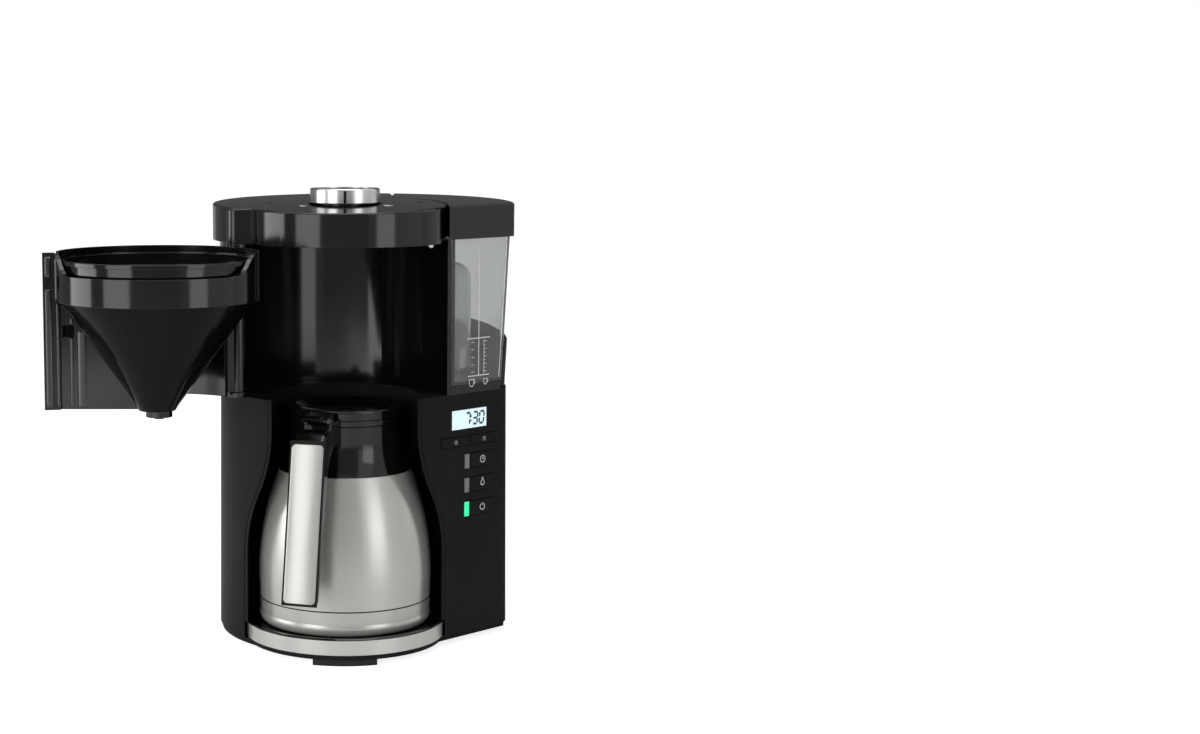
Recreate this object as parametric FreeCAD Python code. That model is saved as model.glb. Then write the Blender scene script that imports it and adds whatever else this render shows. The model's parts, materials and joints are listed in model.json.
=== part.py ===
import FreeCAD, Part
import math
import os

V = FreeCAD.Vector

# Drip coffee maker with a swing-out filter holder, a lift-off water tank and a steel thermal carafe.
# Millimetres and degrees. The brew axis stands at X0 Y0, X runs to the right, Y to the back and Z up
# from the standing surface. The last section moves the origin to the middle of the footprint.

# Clearances
SEAT_GAP = 0.3
RUN_GAP = 0.05
SLIDE_GAP = 0.4
SWING_GAP = 1.5

# Body
BODY_X = 15.0
BODY_Y = 45.0
BODY_R_BOTTOM = 118.0
BODY_R_DECK = 116.5
BODY_R_LID = 122.0
BODY_WALL = 3.0
FOOT_HEIGHT = 5.0
COVER_THICK = 4.0
HOUSING_HEIGHT = 194.0
DECK_THICK = 3.0
CHAMBER_HEIGHT = 120.0
HEAD_HEIGHT = 26.0
DOME_RISE = 6.5
DOME_BACK = 70.0
CORNER_R = 7.0
TOP_EDGE = 1.5
VENT_COUNT = 6
VENT_LENGTH = 44.0
VENT_WIDTH = 3.0
VENT_PITCH = 8.0

# Feet and cord inlet
FRONT_FOOT_WIDTH = 50.0
FRONT_FOOT_DEPTH = 14.0
REAR_FOOT_R = 9.0
REAR_FOOT_CIRCLE_R = 96.0
REAR_FOOT_ANGLES = (20.0, 90.0, 160.0)
FOOT_EDGE = 1.0
INLET_R = 8.0
INLET_LENGTH = 9.0
INLET_HOLE_R = 3.6
INLET_Z = 28.0
INLET_FLANGE = 2.0

# Carafe niche and stand
NICHE_R_LOW = 77.0
NICHE_R_TOP = 57.0
NICHE_Z_LOW = 78.0
NICHE_Z_TOP = 178.0
LINER_WALL = 2.5
PLATE_R = 80.0
PLATE_FLOOR = 10.0
BAND_HEIGHT = 11.5
BAND_THICK = 1.6
LIP_HEIGHT = 1.5
LIP_WIDTH = 3.0
LIP_EDGE = 0.8

# Brew chamber and head
CHAMBER_R = 80.5
CHAMBER_WALL = 3.0
HEAD_R = 79.5
SHOWER_R = 38.0
SHOWER_HOLE_R = 1.6
SHOWER_HOLES = 10
SHOWER_SKIN = 2.0
SHOWER_RIM = 4.0
MARK_R = 62.0
MARK_WIDTH = 2.6
MARK_LENGTH = 8.0
MARK_DEPTH = 0.7
MARK_ANGLE = 15.0
CATCH_R = 2.2
CATCH_DROP = 3.0
CATCH_IN = 5.0
DUCT_WIDTH = 14.0
DUCT_DEPTH = 3.0
DUCT_ANGLE = 62.0

# Selector knob
KNOB_R = 27.5
KNOB_HEIGHT = 12.0
KNOB_WALL = 3.0
KNOB_DISH = 2.5
KNOB_LIFT = 2.4
KNOB_SHAFT_R = 4.0
KNOB_SHAFT_LENGTH = 14.0
KNOB_EDGE = 1.5
KNOB_FOOT_IN = 3.0
KNOB_WELL = 2.0

# Swing-out holder, drawn closed about the brew axis and then turned open
HINGE_X = -84.0
HINGE_Y = -25.0
HINGE_PIN_R = 2.0
HINGE_KNUCKLE_R = 6.0
HINGE_LUG_R = 8.0
HINGE_LUG_THICK = 4.0
HINGE_ARM = 24.0
HOLDER_OPEN = 146.0
HOLDER_R = 76.0
HOLDER_WALL = 3.0
HOLDER_RIM_DROP = 15.5
HOLDER_BAND = 20.5
RIM_STEP_START = 12.0
RIM_STEP_END = 48.0
FUNNEL_WALL = 2.2
FUNNEL_FLOOR = 2.5
FREE_EDGE_ANGLE = 338.0
STRIP_WIDTH = 9.0
GRIP_WIDTH = 30.0
GRIP_HEIGHT = 50.0
GRIP_DEPTH = 1.6
WING_PLACE = 9.0
WING_WINDOW = 9.0
WING_WINDOW_Z = 263.0
STRIP_POCKET_Z = 299.0
STRIP_POCKET_DEPTH = 2.0

# Lift-out filter cone
CONE_R = 70.0
CONE_LIP = 2.2
CONE_LIP_THICK = 3.0
CONE_BAND = 9.0
CONE_WALL = 2.0
CONE_SLOT = 15.0
CONE_SLOT_R = 11.0
CONE_RIM_DROP = 5.5
NOZZLE_R = 10.0
NOZZLE_LENGTH = 10.0
NOZZLE_WALL = 2.0
DRIP_R = 4.0
DRIP_HEAD_R = 6.5
DRIP_TRAVEL = 3.0
DRIP_WIRE_R = 0.5

# Water tank
TANK_TOP_INSET = 3.5
TANK_FOOT_INSET = 3.5
TANK_WALL = 2.2
TANK_BACK_X = 40.0
TANK_LIFT_GAP = 7.0
TANK_LID_BAND = 23.7
TANK_LID_PROUD = 1.5
TANK_LID_SKIN = 2.5
TANK_SEAM = 2.0
TANK_PIN_R = 1.5
TANK_HINGE_OUT = 1.5
TANK_HINGE_ANGLE = 52.0
TANK_EAR = 4.0
TANK_KNUCKLE = 14.0
TANK_EAR_GAP = 1.0
TANK_NOTCH = 26.0
TANK_VALVE_X = 102.0
TANK_VALVE_Y = 44.0
TANK_VALVE_R = 5.0
TANK_VALVE_DROP = 3.0
TANK_VALVE_RIM = 4.0
SOCKET_BORE_R = 9.0
SOCKET_FLOOR = 2.0
APRON_WALL = 2.2
APRON_HEIGHT = 39.0
APRON_TILT = 6.8
APRON_WINDOW_ANGLE = 40.6
APRON_WINDOW_WIDTH = 12.0
APRON_WINDOW_HEIGHT = 22.0
APRON_WINDOW_LOW = 7.0

# Flat control panel, on the right of the niche
PANEL_ANGLE = 43.0
PANEL_REACH = 92.0
PANEL_MIDDLE = 29.5
DISPLAY_WIDTH = 40.0
DISPLAY_HEIGHT = 15.4
DISPLAY_Z = 182.0
DISPLAY_INSET = 0.4
DISPLAY_THICK = 2.0
SMALL_KEY_WIDTH = 31.0
SMALL_KEY_HEIGHT = 7.5
SMALL_KEY_Z = 164.5
SMALL_KEY_PITCH = 32.6
KEY_WIDTH = 28.4
KEY_LEFT = 30.0
KEY_HEIGHT = 11.5
KEY_TOP_Z = 148.0
KEY_PITCH = 19.4
KEY_TRAVEL = 1.5
KEY_PROUD = 1.0
KEY_DEPTH = 8.0
KEY_EDGE = 0.6
LIGHT_WIDTH = 4.5
LIGHT_GAP = 1.3
BOARD_DEPTH = 11.0
BOARD_THICK = 1.6
BOARD_WIDTH = 37.0
BOARD_HEIGHT = 98.0
SWITCH_SIZE = 6.0
STANDOFF_R = 3.0

# Water path inside the body
HEATER_R = 100.0
HEATER_TUBE_R = 6.0
HEATER_Z = 36.0
HEATER_START = 52.0
HEATER_SWEEP = 76.0
FUSE_R = 8.0
FUSE_HEIGHT = 6.0
FUSE_PIN = 2.0
FUSE_PIN_HEIGHT = 6.0
FUSE_PIN_PITCH = 8.0
CHECK_WALL = 4.0
CHECK_LENGTH = 26.0
HOSE_R = 5.0
HOSE_BORE_R = 3.5
HOSE_BEND = 9.0
COLD_LEAD = 24.0
RISER_LEAD = 14.0
RISER_Z = 333.0

# Thermal carafe
CARAFE_R_SEAM = 68.6
CARAFE_R = 69.2
CARAFE_R_NECK = 52.7
CARAFE_SEAM_Z = 40.0
SEAM_GROOVE = 0.5
CARAFE_BELLY_Z = 58.0
CARAFE_NECK_Z = 142.5
CARAFE_WALL = 1.2
BASE_FOOT_IN = 7.0
BASE_FOOT_WIDTH = 7.0
BASE_RECESS = 2.0
BASE_BEND = 10.0
FLASK_FLOOR_IN = 26.0
COLLAR_RIM = 4.0
FLASK_GAP = 5.0
COLLAR_R_WAIST = 45.7
COLLAR_WAIST_Z = 168.0
COLLAR_TOP_Z = 186.0
COLLAR_WALL = 3.0
LID_HEIGHT = 8.0
LID_DISH = 4.0
LID_PLUG_DEPTH = 18.0
LID_HOLE_R = 7.0
LID_EDGE = 2.0
LID_RIM = 6.0
SEAL_SIZE = 4.0
PLUG_GAP = 1.2
HANDLE_ANGLE = 251.5
HANDLE_WIDTH = 28.5
HANDLE_TOP_Z = 177.0
HANDLE_BOTTOM_Z = 54.0
HANDLE_REACH_TOP = 88.0
HANDLE_REACH_BOTTOM = 110.0
HANDLE_CORE = 11.0
HANDLE_EDGE = 2.0
HANDLE_INSET = 2.5
HANDLE_NECK_LOW = 22.0
HANDLE_NECK_OUT = 12.0
HANDLE_PALM_DROP = 28.0
HANDLE_PALM_EDGE = 12.0
STRIP_THICK = 1.5
LEVER_WIDTH = 15.0
LEVER_PIN_R = 1.5
LEVER_PIN_OUT = 18.0
LEVER_PIN_RISE = 3.0
LEVER_NOSE_GAP = 2.5
LEVER_TAIL = 19.0
LEVER_THICK = 5.0
LEVER_EAR = 8.0
LEVER_EAR_THICK = 3.0

# Levels that follow from the sizes above
COVER_TOP = FOOT_HEIGHT + COVER_THICK
DECK_Z = COVER_TOP + HOUSING_HEIGHT
HEAD_Z = DECK_Z + CHAMBER_HEIGHT
RIM_Z = HEAD_Z + HEAD_HEIGHT
PLATE_TOP = COVER_TOP + PLATE_FLOOR
LIP_Z = COVER_TOP + BAND_HEIGHT
LIP_TOP = LIP_Z + LIP_HEIGHT
TANK_TOP = RIM_Z - TANK_LID_BAND
TANK_INNER_R = CHAMBER_R + CHAMBER_WALL + SLIDE_GAP
TANK_R_TOP = BODY_R_LID - TANK_TOP_INSET
TANK_R_BOTTOM = BODY_R_DECK - TANK_FOOT_INSET
FAR = 400.0


# Shape helpers
def polar(r, angle):
    return r * math.cos(math.radians(angle)), r * math.sin(math.radians(angle))


def cyl(x, y, r, z0, z1):
    return Part.makeCylinder(r, z1 - z0, V(x, y, z0))


def cone(x, y, r0, r1, z0, z1):
    return Part.makeCone(r0, r1, z1 - z0, V(x, y, z0))


def box(x0, x1, y0, y1, z0, z1):
    return Part.makeBox(x1 - x0, y1 - y0, z1 - z0, V(x0, y0, z0))


def outline(points):
    """Closed face in the XZ plane. A point is (r, z), or (mid r, mid z, end r, end z) for an arc."""
    edges = []
    last = V(points[0][0], 0, points[0][1])
    for point in points[1:] + points[:1]:
        end = V(point[-2], 0, point[-1])
        if len(point) == 4:
            edges.append(Part.Arc(last, V(point[0], 0, point[1]), end).toShape())
        else:
            edges.append(Part.makeLine(last, end))
        last = end
    return Part.Face(Part.Wire(edges))


def level_arc(r0, z0, r1, z1):
    """Arc that leaves (r0, z0) level and ends at (r1, z1)."""
    dr = r1 - r0
    dz = z1 - z0
    bend = (dr * dr + dz * dz) / (2 * abs(dz))
    half = math.atan2(abs(dz), abs(dr))
    across = math.copysign(bend * math.sin(half), dr)
    rise = math.copysign(bend * (1 - math.cos(half)), dz)
    return (r0 + across, z0 + rise, r1, z1)


def upright_arc(r0, z0, r1, z1):
    """Arc that leaves (r0, z0) upright and ends at (r1, z1)."""
    middle_z, middle_r, z, r = level_arc(z0, r0, z1, r1)
    return (middle_r, middle_z, r, z)


def revolve(points, x=0.0, y=0.0, start=0.0, sweep=360.0):
    solid = outline(points).revolve(V(0, 0, 0), V(0, 0, 1), sweep)
    solid.rotate(V(0, 0, 0), V(0, 0, 1), start)
    solid.translate(V(x, y, 0))
    return solid


def ring(r0, r1, z0, z1, x=0.0, y=0.0, start=0.0, sweep=360.0):
    return revolve([(r0, z0), (r1, z0), (r1, z1), (r0, z1)], x, y, start, sweep)


def fuse(shapes):
    whole = shapes[0].multiFuse(shapes[1:]) if len(shapes) > 1 else shapes[0]
    return whole.removeSplitter()


def turned(shape, angle, x=0.0, y=0.0):
    copy = shape.copy()
    copy.rotate(V(x, y, 0), V(0, 0, 1), angle)
    return copy


def moved(shape, x=0.0, y=0.0, z=0.0):
    copy = shape.copy()
    copy.translate(V(x, y, z))
    return copy


def slot_wire(half_straight, r, z):
    """Rounded slot along X, as two lines and two half circles cut in four."""
    a = V(half_straight, -r, z)
    b = V(half_straight, r, z)
    c = V(-half_straight, r, z)
    d = V(-half_straight, -r, z)
    right = Part.Arc(a, V(half_straight + r, 0, z), b).toShape()
    left = Part.Arc(c, V(-half_straight - r, 0, z), d).toShape()
    return Part.Wire([right, Part.makeLine(b, c), left, Part.makeLine(d, a)])


def circle_wire(r, z):
    """Circle in four arcs that match the edges of slot_wire."""
    k = r * math.sqrt(0.5)
    a, b, c, d = V(k, -k, z), V(k, k, z), V(-k, k, z), V(-k, -k, z)
    mids = (V(r, 0, z), V(0, r, z), V(-r, 0, z), V(0, -r, z))
    corners = (a, b, c, d, a)
    arcs = [Part.Arc(corners[i], mids[i], corners[i + 1]).toShape() for i in range(4)]
    return Part.Wire(arcs)


def wedge(r, z_top, half_straight, slot_r, z_bottom):
    """Filter form: a circle above that runs down to a slot along X."""
    wires = [circle_wire(r, z_top), slot_wire(half_straight, slot_r, z_bottom)]
    return Part.makeLoft(wires, True, True)


# Body shell
def body_radius(z):
    share = (z - COVER_TOP) / (DECK_Z - COVER_TOP)
    return BODY_R_BOTTOM + (BODY_R_DECK - BODY_R_BOTTOM) * share


def panel_turn():
    """From panel axes, X along the panel and Y into the body from its face, to the panel's place."""
    turn = FreeCAD.Placement(V(BODY_X, BODY_Y, 0), FreeCAD.Rotation(V(0, 0, 1), PANEL_ANGLE))
    return turn.multiply(FreeCAD.Placement(V(0, -PANEL_REACH, 0), FreeCAD.Rotation()))


def panel_place(shape):
    copy = shape.copy()
    copy.Placement = panel_turn().multiply(copy.Placement)
    return copy


def panel_box(u0, u1, z0, z1, n0, n1):
    return panel_place(box(u0, u1, n0, n1, z0, z1))


def ahead_of_panel(inset, z0, z1):
    """Everything in front of the panel's plane, set into the body by inset."""
    return panel_box(-FAR, FAR, z0 - 1, z1 + 1, -FAR, inset)


def round_corner(shape, inset):
    """Round the upright edge where the right end of the panel meets the round side."""
    back = panel_turn().inverse()
    upright = []
    for edge in shape.Edges:
        ends = [back.multVec(vertex.Point) for vertex in edge.Vertexes]
        if edge.BoundBox.ZLength > CORNER_R and all(abs(end.y - inset) < RUN_GAP for end in ends):
            upright.append((ends[0].x, edge))
    corner = max(upright, key=lambda pair: pair[0])[1]
    return shape.makeFillet(CORNER_R - inset, [corner])


def body_cone(inset, z0, z1):
    """Round tapered body with the flat panel cut into its front right."""
    round_body = cone(BODY_X, BODY_Y, body_radius(z0) - inset, body_radius(z1) - inset, z0, z1)
    body = round_body.cut(ahead_of_panel(inset, z0, z1))
    return round_corner(body, inset) if z1 - z0 > CORNER_R else body


def niche(offset, z0, z1):
    """Bell-shaped space for the carafe, open to the front."""
    half = (NICHE_R_LOW - NICHE_R_TOP) / 2
    rise = (NICHE_Z_TOP - NICHE_Z_LOW) / 2
    bend = (half * half + rise * rise) / (2 * half)
    turn = math.asin(rise / bend) / 2
    sag = bend * (1 - math.cos(turn))
    lift = bend * math.sin(turn)
    low = NICHE_R_LOW + offset
    top = NICHE_R_TOP + offset
    middle_z = (NICHE_Z_LOW + NICHE_Z_TOP) / 2
    face = outline([
        (0, z0), (low, z0), (low, NICHE_Z_LOW),
        (low - sag, NICHE_Z_LOW + lift, low - half, middle_z),
        (top + sag, NICHE_Z_TOP - lift, top, NICHE_Z_TOP),
        (top, z1), (0, z1)])
    bell = face.revolve(V(0, 0, 0), V(0, 0, 1), 360)
    right = face.extrude(V(0, -FAR, 0))
    left = right.mirror(V(0, 0, 0), V(1, 0, 0))
    return fuse([bell, right, left])


def make_base_cover():
    rear = body_cone(BODY_WALL / 2, FOOT_HEIGHT, COVER_TOP)
    front = cyl(0, 0, PLATE_R - BAND_THICK, FOOT_HEIGHT, COVER_TOP)
    plate = fuse([rear, front])
    vents = []
    half = VENT_LENGTH / 2
    for row in range(VENT_COUNT):
        y = BODY_Y + VENT_PITCH * (row + 2)
        vents.append(box(BODY_X - half, BODY_X + half, y, y + VENT_WIDTH, FOOT_HEIGHT - 1, COVER_TOP + 1))
    return plate.cut(Part.makeCompound(vents))


def make_rubber_feet():
    edge = PLATE_R - BAND_THICK - FOOT_EDGE
    pad = ring(edge - FRONT_FOOT_DEPTH, edge, 0, FOOT_HEIGHT)
    half = FRONT_FOOT_WIDTH / 2
    feet = [pad.common(box(-half, half, -FAR, 0, 0, FOOT_HEIGHT))]
    for angle in REAR_FOOT_ANGLES:
        x, y = polar(REAR_FOOT_CIRCLE_R, angle)
        feet.append(cone(BODY_X + x, BODY_Y + y, REAR_FOOT_R - FOOT_EDGE, REAR_FOOT_R, 0, FOOT_HEIGHT))
    return Part.makeCompound(feet)


def make_niche_liner():
    z0 = LIP_TOP + SEAT_GAP
    shell = niche(LINER_WALL, z0, DECK_Z).cut(niche(0, z0 - 1, DECK_Z + 1))
    return shell.common(body_cone(0, z0, DECK_Z))


def make_carafe_plate():
    edge = PLATE_R - BAND_THICK - RUN_GAP
    return revolve([
        (0, COVER_TOP), (edge, COVER_TOP), (edge, LIP_Z), (PLATE_R, LIP_Z), (PLATE_R, LIP_TOP - LIP_EDGE),
        (PLATE_R - LIP_EDGE, LIP_TOP), (PLATE_R - LIP_WIDTH, LIP_TOP),
        (PLATE_R - LIP_WIDTH - LIP_EDGE, PLATE_TOP), (0, PLATE_TOP)])


def make_plate_trim():
    return ring(PLATE_R - BAND_THICK, PLATE_R, COVER_TOP, LIP_Z)


# Control panel
def panel_key(u0, u1, z, height, proud, depth, gap=0.0):
    """Block behind the panel's face, with its front standing proud of it."""
    half = height / 2 + gap
    return panel_box(u0 - gap, u1 + gap, z - half, z + half, -proud, depth)


def display_block(proud, depth, gap=0.0):
    half = DISPLAY_WIDTH / 2
    return panel_key(PANEL_MIDDLE - half, PANEL_MIDDLE + half, DISPLAY_Z, DISPLAY_HEIGHT, proud, depth, gap)


def small_key_block(side, proud, gap=0.0):
    middle = PANEL_MIDDLE + side * SMALL_KEY_PITCH / 2
    half = SMALL_KEY_WIDTH / 2
    return panel_key(middle - half, middle + half, SMALL_KEY_Z, SMALL_KEY_HEIGHT, proud, KEY_DEPTH, gap)


def key_z(row):
    return KEY_TOP_Z - row * KEY_PITCH


def key_right():
    return KEY_LEFT + KEY_WIDTH


def key_block(row, proud, gap=0.0):
    return panel_key(KEY_LEFT, key_right(), key_z(row), KEY_HEIGHT, proud, KEY_DEPTH, gap)


def light_block(row, proud, gap=0.0):
    right = KEY_LEFT - LIGHT_GAP
    return panel_key(right - LIGHT_WIDTH, right, key_z(row), KEY_HEIGHT, proud, KEY_DEPTH, gap)


def board_low():
    return DISPLAY_Z + DISPLAY_HEIGHT / 2 - BOARD_HEIGHT


def standoff_places():
    """Along the panel and up: right of the display and under the lowest key."""
    low = board_low() + STANDOFF_R + SEAT_GAP
    return ((key_right() - STANDOFF_R, DISPLAY_Z), (key_right() - STANDOFF_R, low))


def make_lower_housing():
    void_top = DECK_Z - DECK_THICK
    body = body_cone(0, COVER_TOP, DECK_Z)
    void = body_cone(BODY_WALL, COVER_TOP, void_top)
    void = void.cut(niche(LINER_WALL + BODY_WALL, COVER_TOP - 1, void_top + 1))
    body = body.cut(niche(LINER_WALL + SEAT_GAP, COVER_TOP - 1, DECK_Z + 1))
    body = body.cut(void)
    posts = []
    for u, z in standoff_places():
        post = Part.makeCylinder(STANDOFF_R, BOARD_DEPTH - BODY_WALL / 2, V(u, BODY_WALL / 2, z), V(0, 1, 0))
        posts.append(panel_place(post))
    body = fuse([body] + posts)
    openings = [display_block(BODY_WALL, BODY_WALL + 1, RUN_GAP)]
    openings += [small_key_block(side, BODY_WALL, SLIDE_GAP) for side in (-1, 1)]
    openings += [key_block(row, BODY_WALL, SLIDE_GAP) for row in range(3)]
    openings += [light_block(row, BODY_WALL, RUN_GAP) for row in range(3)]
    openings.append(cyl(0, 0, PLATE_R + SEAT_GAP, COVER_TOP - 1, LIP_TOP + SEAT_GAP))
    openings.append(inlet_bore(INLET_R - INLET_FLANGE + RUN_GAP))
    openings.append(cyl(TANK_VALVE_X, TANK_VALVE_Y, HOSE_R + 1, void_top - 1, DECK_Z + 1))
    riser = riser_route()[1]
    openings.append(cyl(riser.x, riser.y, HOSE_R + 1, void_top - 1, DECK_Z + 1))
    for opening in openings:
        body = body.cut(opening)
    return body


def inlet_bore(r):
    return Part.makeCylinder(r, FAR, V(BODY_X, BODY_Y + PLATE_R, INLET_Z), V(0, 1, 0))


def make_cord_inlet():
    """Flanged bushing in the rear wall, with an open bore for a mains lead."""
    face = BODY_Y + body_radius(INLET_Z)
    start = face - BODY_WALL - INLET_LENGTH / 2
    neck = Part.makeCylinder(INLET_R - INLET_FLANGE, INLET_LENGTH, V(BODY_X, start, INLET_Z), V(0, 1, 0))
    flange = Part.makeCylinder(INLET_R, INLET_FLANGE, V(BODY_X, face + SEAT_GAP, INLET_Z), V(0, 1, 0))
    bore = Part.makeCylinder(INLET_HOLE_R, FAR, V(BODY_X, start - 1, INLET_Z), V(0, 1, 0))
    return fuse([neck, flange]).cut(bore)


def make_display_window():
    return display_block(-DISPLAY_INSET, DISPLAY_INSET + DISPLAY_THICK)


def make_display_module():
    half = DISPLAY_WIDTH / 2 - 1
    rise = DISPLAY_HEIGHT / 2 - 1
    front = DISPLAY_INSET + DISPLAY_THICK + SEAT_GAP
    u = PANEL_MIDDLE
    return panel_box(u - half, u + half, DISPLAY_Z - rise, DISPLAY_Z + rise, front, BOARD_DEPTH)


def make_control_board():
    right = key_right()
    low = board_low()
    back = BOARD_DEPTH + BOARD_THICK
    board = panel_box(right - BOARD_WIDTH, right, low, low + BOARD_HEIGHT, BOARD_DEPTH, back)
    switches = []
    half = SWITCH_SIZE / 2
    u = KEY_LEFT + KEY_WIDTH / 2
    for row in range(3):
        z = key_z(row)
        front = KEY_DEPTH + KEY_TRAVEL + SEAT_GAP
        switches.append(panel_box(u - half, u + half, z - half, z + half, front, BOARD_DEPTH))
    return fuse([board] + switches)


def eased(block):
    """Key with the edges of its front face rounded."""
    back = panel_turn().inverse()
    front = []
    for edge in block.Edges:
        if all(back.multVec(vertex.Point).y < 0 for vertex in edge.Vertexes):
            front.append(edge)
    return block.makeFillet(KEY_EDGE, front)


def make_small_key(side):
    return eased(small_key_block(side, KEY_PROUD))


def make_key(row):
    return eased(key_block(row, KEY_PROUD))


def make_light(row):
    return light_block(row, KEY_PROUD)


# Water path inside the body
def pipe(points, r, bore=0.0):
    """Round tube along straight runs joined by tangent arcs."""
    edges = []
    last = points[0]
    for before, corner, after in zip(points, points[1:], points[2:]):
        into = (corner - before).normalize()
        out = (after - corner).normalize()
        half = math.acos(max(-1.0, min(1.0, into.dot(out)))) / 2
        cut = HOSE_BEND * math.tan(half)
        start = corner - into * cut
        end = corner + out * cut
        inside = (out - into).normalize()
        middle = corner + inside * (HOSE_BEND / math.cos(half) - HOSE_BEND)
        edges.append(Part.makeLine(last, start))
        edges.append(Part.Arc(start, middle, end).toShape())
        last = end
    edges.append(Part.makeLine(last, points[-1]))
    spine = Part.Wire(edges)
    direction = (points[1] - points[0]).normalize()
    solid = spine.makePipeShell([Part.Wire(Part.makeCircle(r, points[0], direction))], True, False)
    if bore:
        inner = spine.makePipeShell([Part.Wire(Part.makeCircle(bore, points[0], direction))], True, False)
        solid = solid.cut(inner)
    return solid


def make_flow_heater():
    """Cast horseshoe: a water tube and a heating rod side by side, on two feet."""
    z0 = HEATER_Z - HEATER_TUBE_R
    r = HEATER_TUBE_R
    circle = Part.Face(Part.Wire(Part.makeCircle(r, V(HEATER_R, 0, HEATER_Z), V(0, 1, 0))))
    tube = circle.revolve(V(0, 0, 0), V(0, 0, 1), HEATER_SWEEP)
    rod_circle = Part.Face(Part.Wire(Part.makeCircle(r * 0.8, V(HEATER_R, 0, HEATER_Z + r), V(0, 1, 0))))
    rod = rod_circle.revolve(V(0, 0, 0), V(0, 0, 1), HEATER_SWEEP)
    casting = turned(fuse([tube, rod]), HEATER_START)
    feet = []
    for share in (0.3, 0.7):
        x, y = polar(HEATER_R, HEATER_START + share * HEATER_SWEEP)
        feet.append(cyl(x, y, r * 0.7, COVER_TOP, z0 + r * 0.6))
    return fuse([casting] + feet)


def make_thermal_fuse():
    x, y = polar(HEATER_R, HEATER_START + HEATER_SWEEP / 2)
    top = HEATER_Z + HEATER_TUBE_R * 1.8
    disc_top = top + FUSE_HEIGHT
    pieces = [cyl(x, y, FUSE_R, top + SEAT_GAP, disc_top)]
    half = FUSE_PIN / 2
    for side in (-1, 1):
        pin_x = x + side * FUSE_PIN_PITCH / 2
        pin_top = disc_top + FUSE_PIN_HEIGHT
        pieces.append(box(pin_x - half, pin_x + half, y - half, y + half, disc_top, pin_top))
    return fuse(pieces)


def cold_route():
    x, y = polar(HEATER_R, HEATER_START)
    tangent = V(*polar(1, HEATER_START - 90), 0)
    end = V(x, y, HEATER_Z) + tangent * SEAT_GAP
    corner = V(TANK_VALVE_X, TANK_VALVE_Y, HEATER_Z)
    lead = end + tangent * COLD_LEAD
    top = V(TANK_VALVE_X, TANK_VALVE_Y, DECK_Z - SEAT_GAP)
    return top, corner, lead, end


def make_cold_hose():
    top, corner, lead, end = cold_route()
    return pipe([top, corner, lead, end], HOSE_R, HOSE_BORE_R)


def make_check_valve():
    """Sleeve round the cold hose that keeps hot water from running back to the tank."""
    top = cold_route()[0]
    low = (HEATER_Z + DECK_Z) / 2
    return ring(HOSE_R + RUN_GAP, HOSE_R + CHECK_WALL, low, low + CHECK_LENGTH, top.x, top.y)


def riser_route():
    angle = HEATER_START + HEATER_SWEEP
    x, y = polar(HEATER_R, angle)
    tangent = V(*polar(1, angle + 90), 0)
    start = V(x, y, HEATER_Z) + tangent * SEAT_GAP
    lead = start + tangent * RISER_LEAD
    rise = V(lead.x, lead.y, RISER_Z)
    end = V(lead.x * 0.3, lead.y * 0.3, RISER_Z)
    return start, lead, rise, end


def make_riser_tube():
    return pipe(list(riser_route()), HOSE_R, HOSE_BORE_R)


# Upper column, brew chamber and head
def chamber_space(z0, z1):
    open_front = box(-CHAMBER_R, CHAMBER_R, -FAR, 0, z0, z1)
    return fuse([cyl(0, 0, CHAMBER_R, z0, z1), open_front])


def tank_bay(edge, back_x, z0, z1):
    """Space right of the chamber: outside radius edge, right of edge in front and of back_x behind."""
    bay = box(back_x, FAR, -FAR, FAR, z0, z1)
    bay = bay.cut(cyl(0, 0, edge, z0 - 1, z1 + 1))
    return bay.cut(box(back_x - 1, edge, -FAR, 0, z0 - 1, z1 + 1))


def tank_apron():
    """Low wall round the side and back of the tank, whose top rises to the back, with a window."""
    z1 = HEAD_Z
    wall = tank_cone(-SLIDE_GAP - APRON_WALL, DECK_Z, z1).cut(tank_cone(-SLIDE_GAP, DECK_Z - 1, z1 + 1))
    wall = wall.common(box(TANK_BACK_X - BODY_WALL, FAR, -FAR, FAR, DECK_Z, z1))
    wall = wall.cut(ahead_of_panel(CORNER_R, DECK_Z, z1))
    above = box(-FAR, FAR, -FAR, FAR, 0, FAR)
    above.rotate(V(0, 0, 0), V(1, 0, 0), APRON_TILT)
    wall = wall.cut(moved(above, 0, BODY_Y, DECK_Z + APRON_HEIGHT))
    half = APRON_WINDOW_WIDTH / 2
    low = DECK_Z + APRON_WINDOW_LOW
    window = turned(box(0, FAR, -half, half, low, low + APRON_WINDOW_HEIGHT), APRON_WINDOW_ANGLE)
    return wall.cut(moved(window, BODY_X, BODY_Y))


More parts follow.
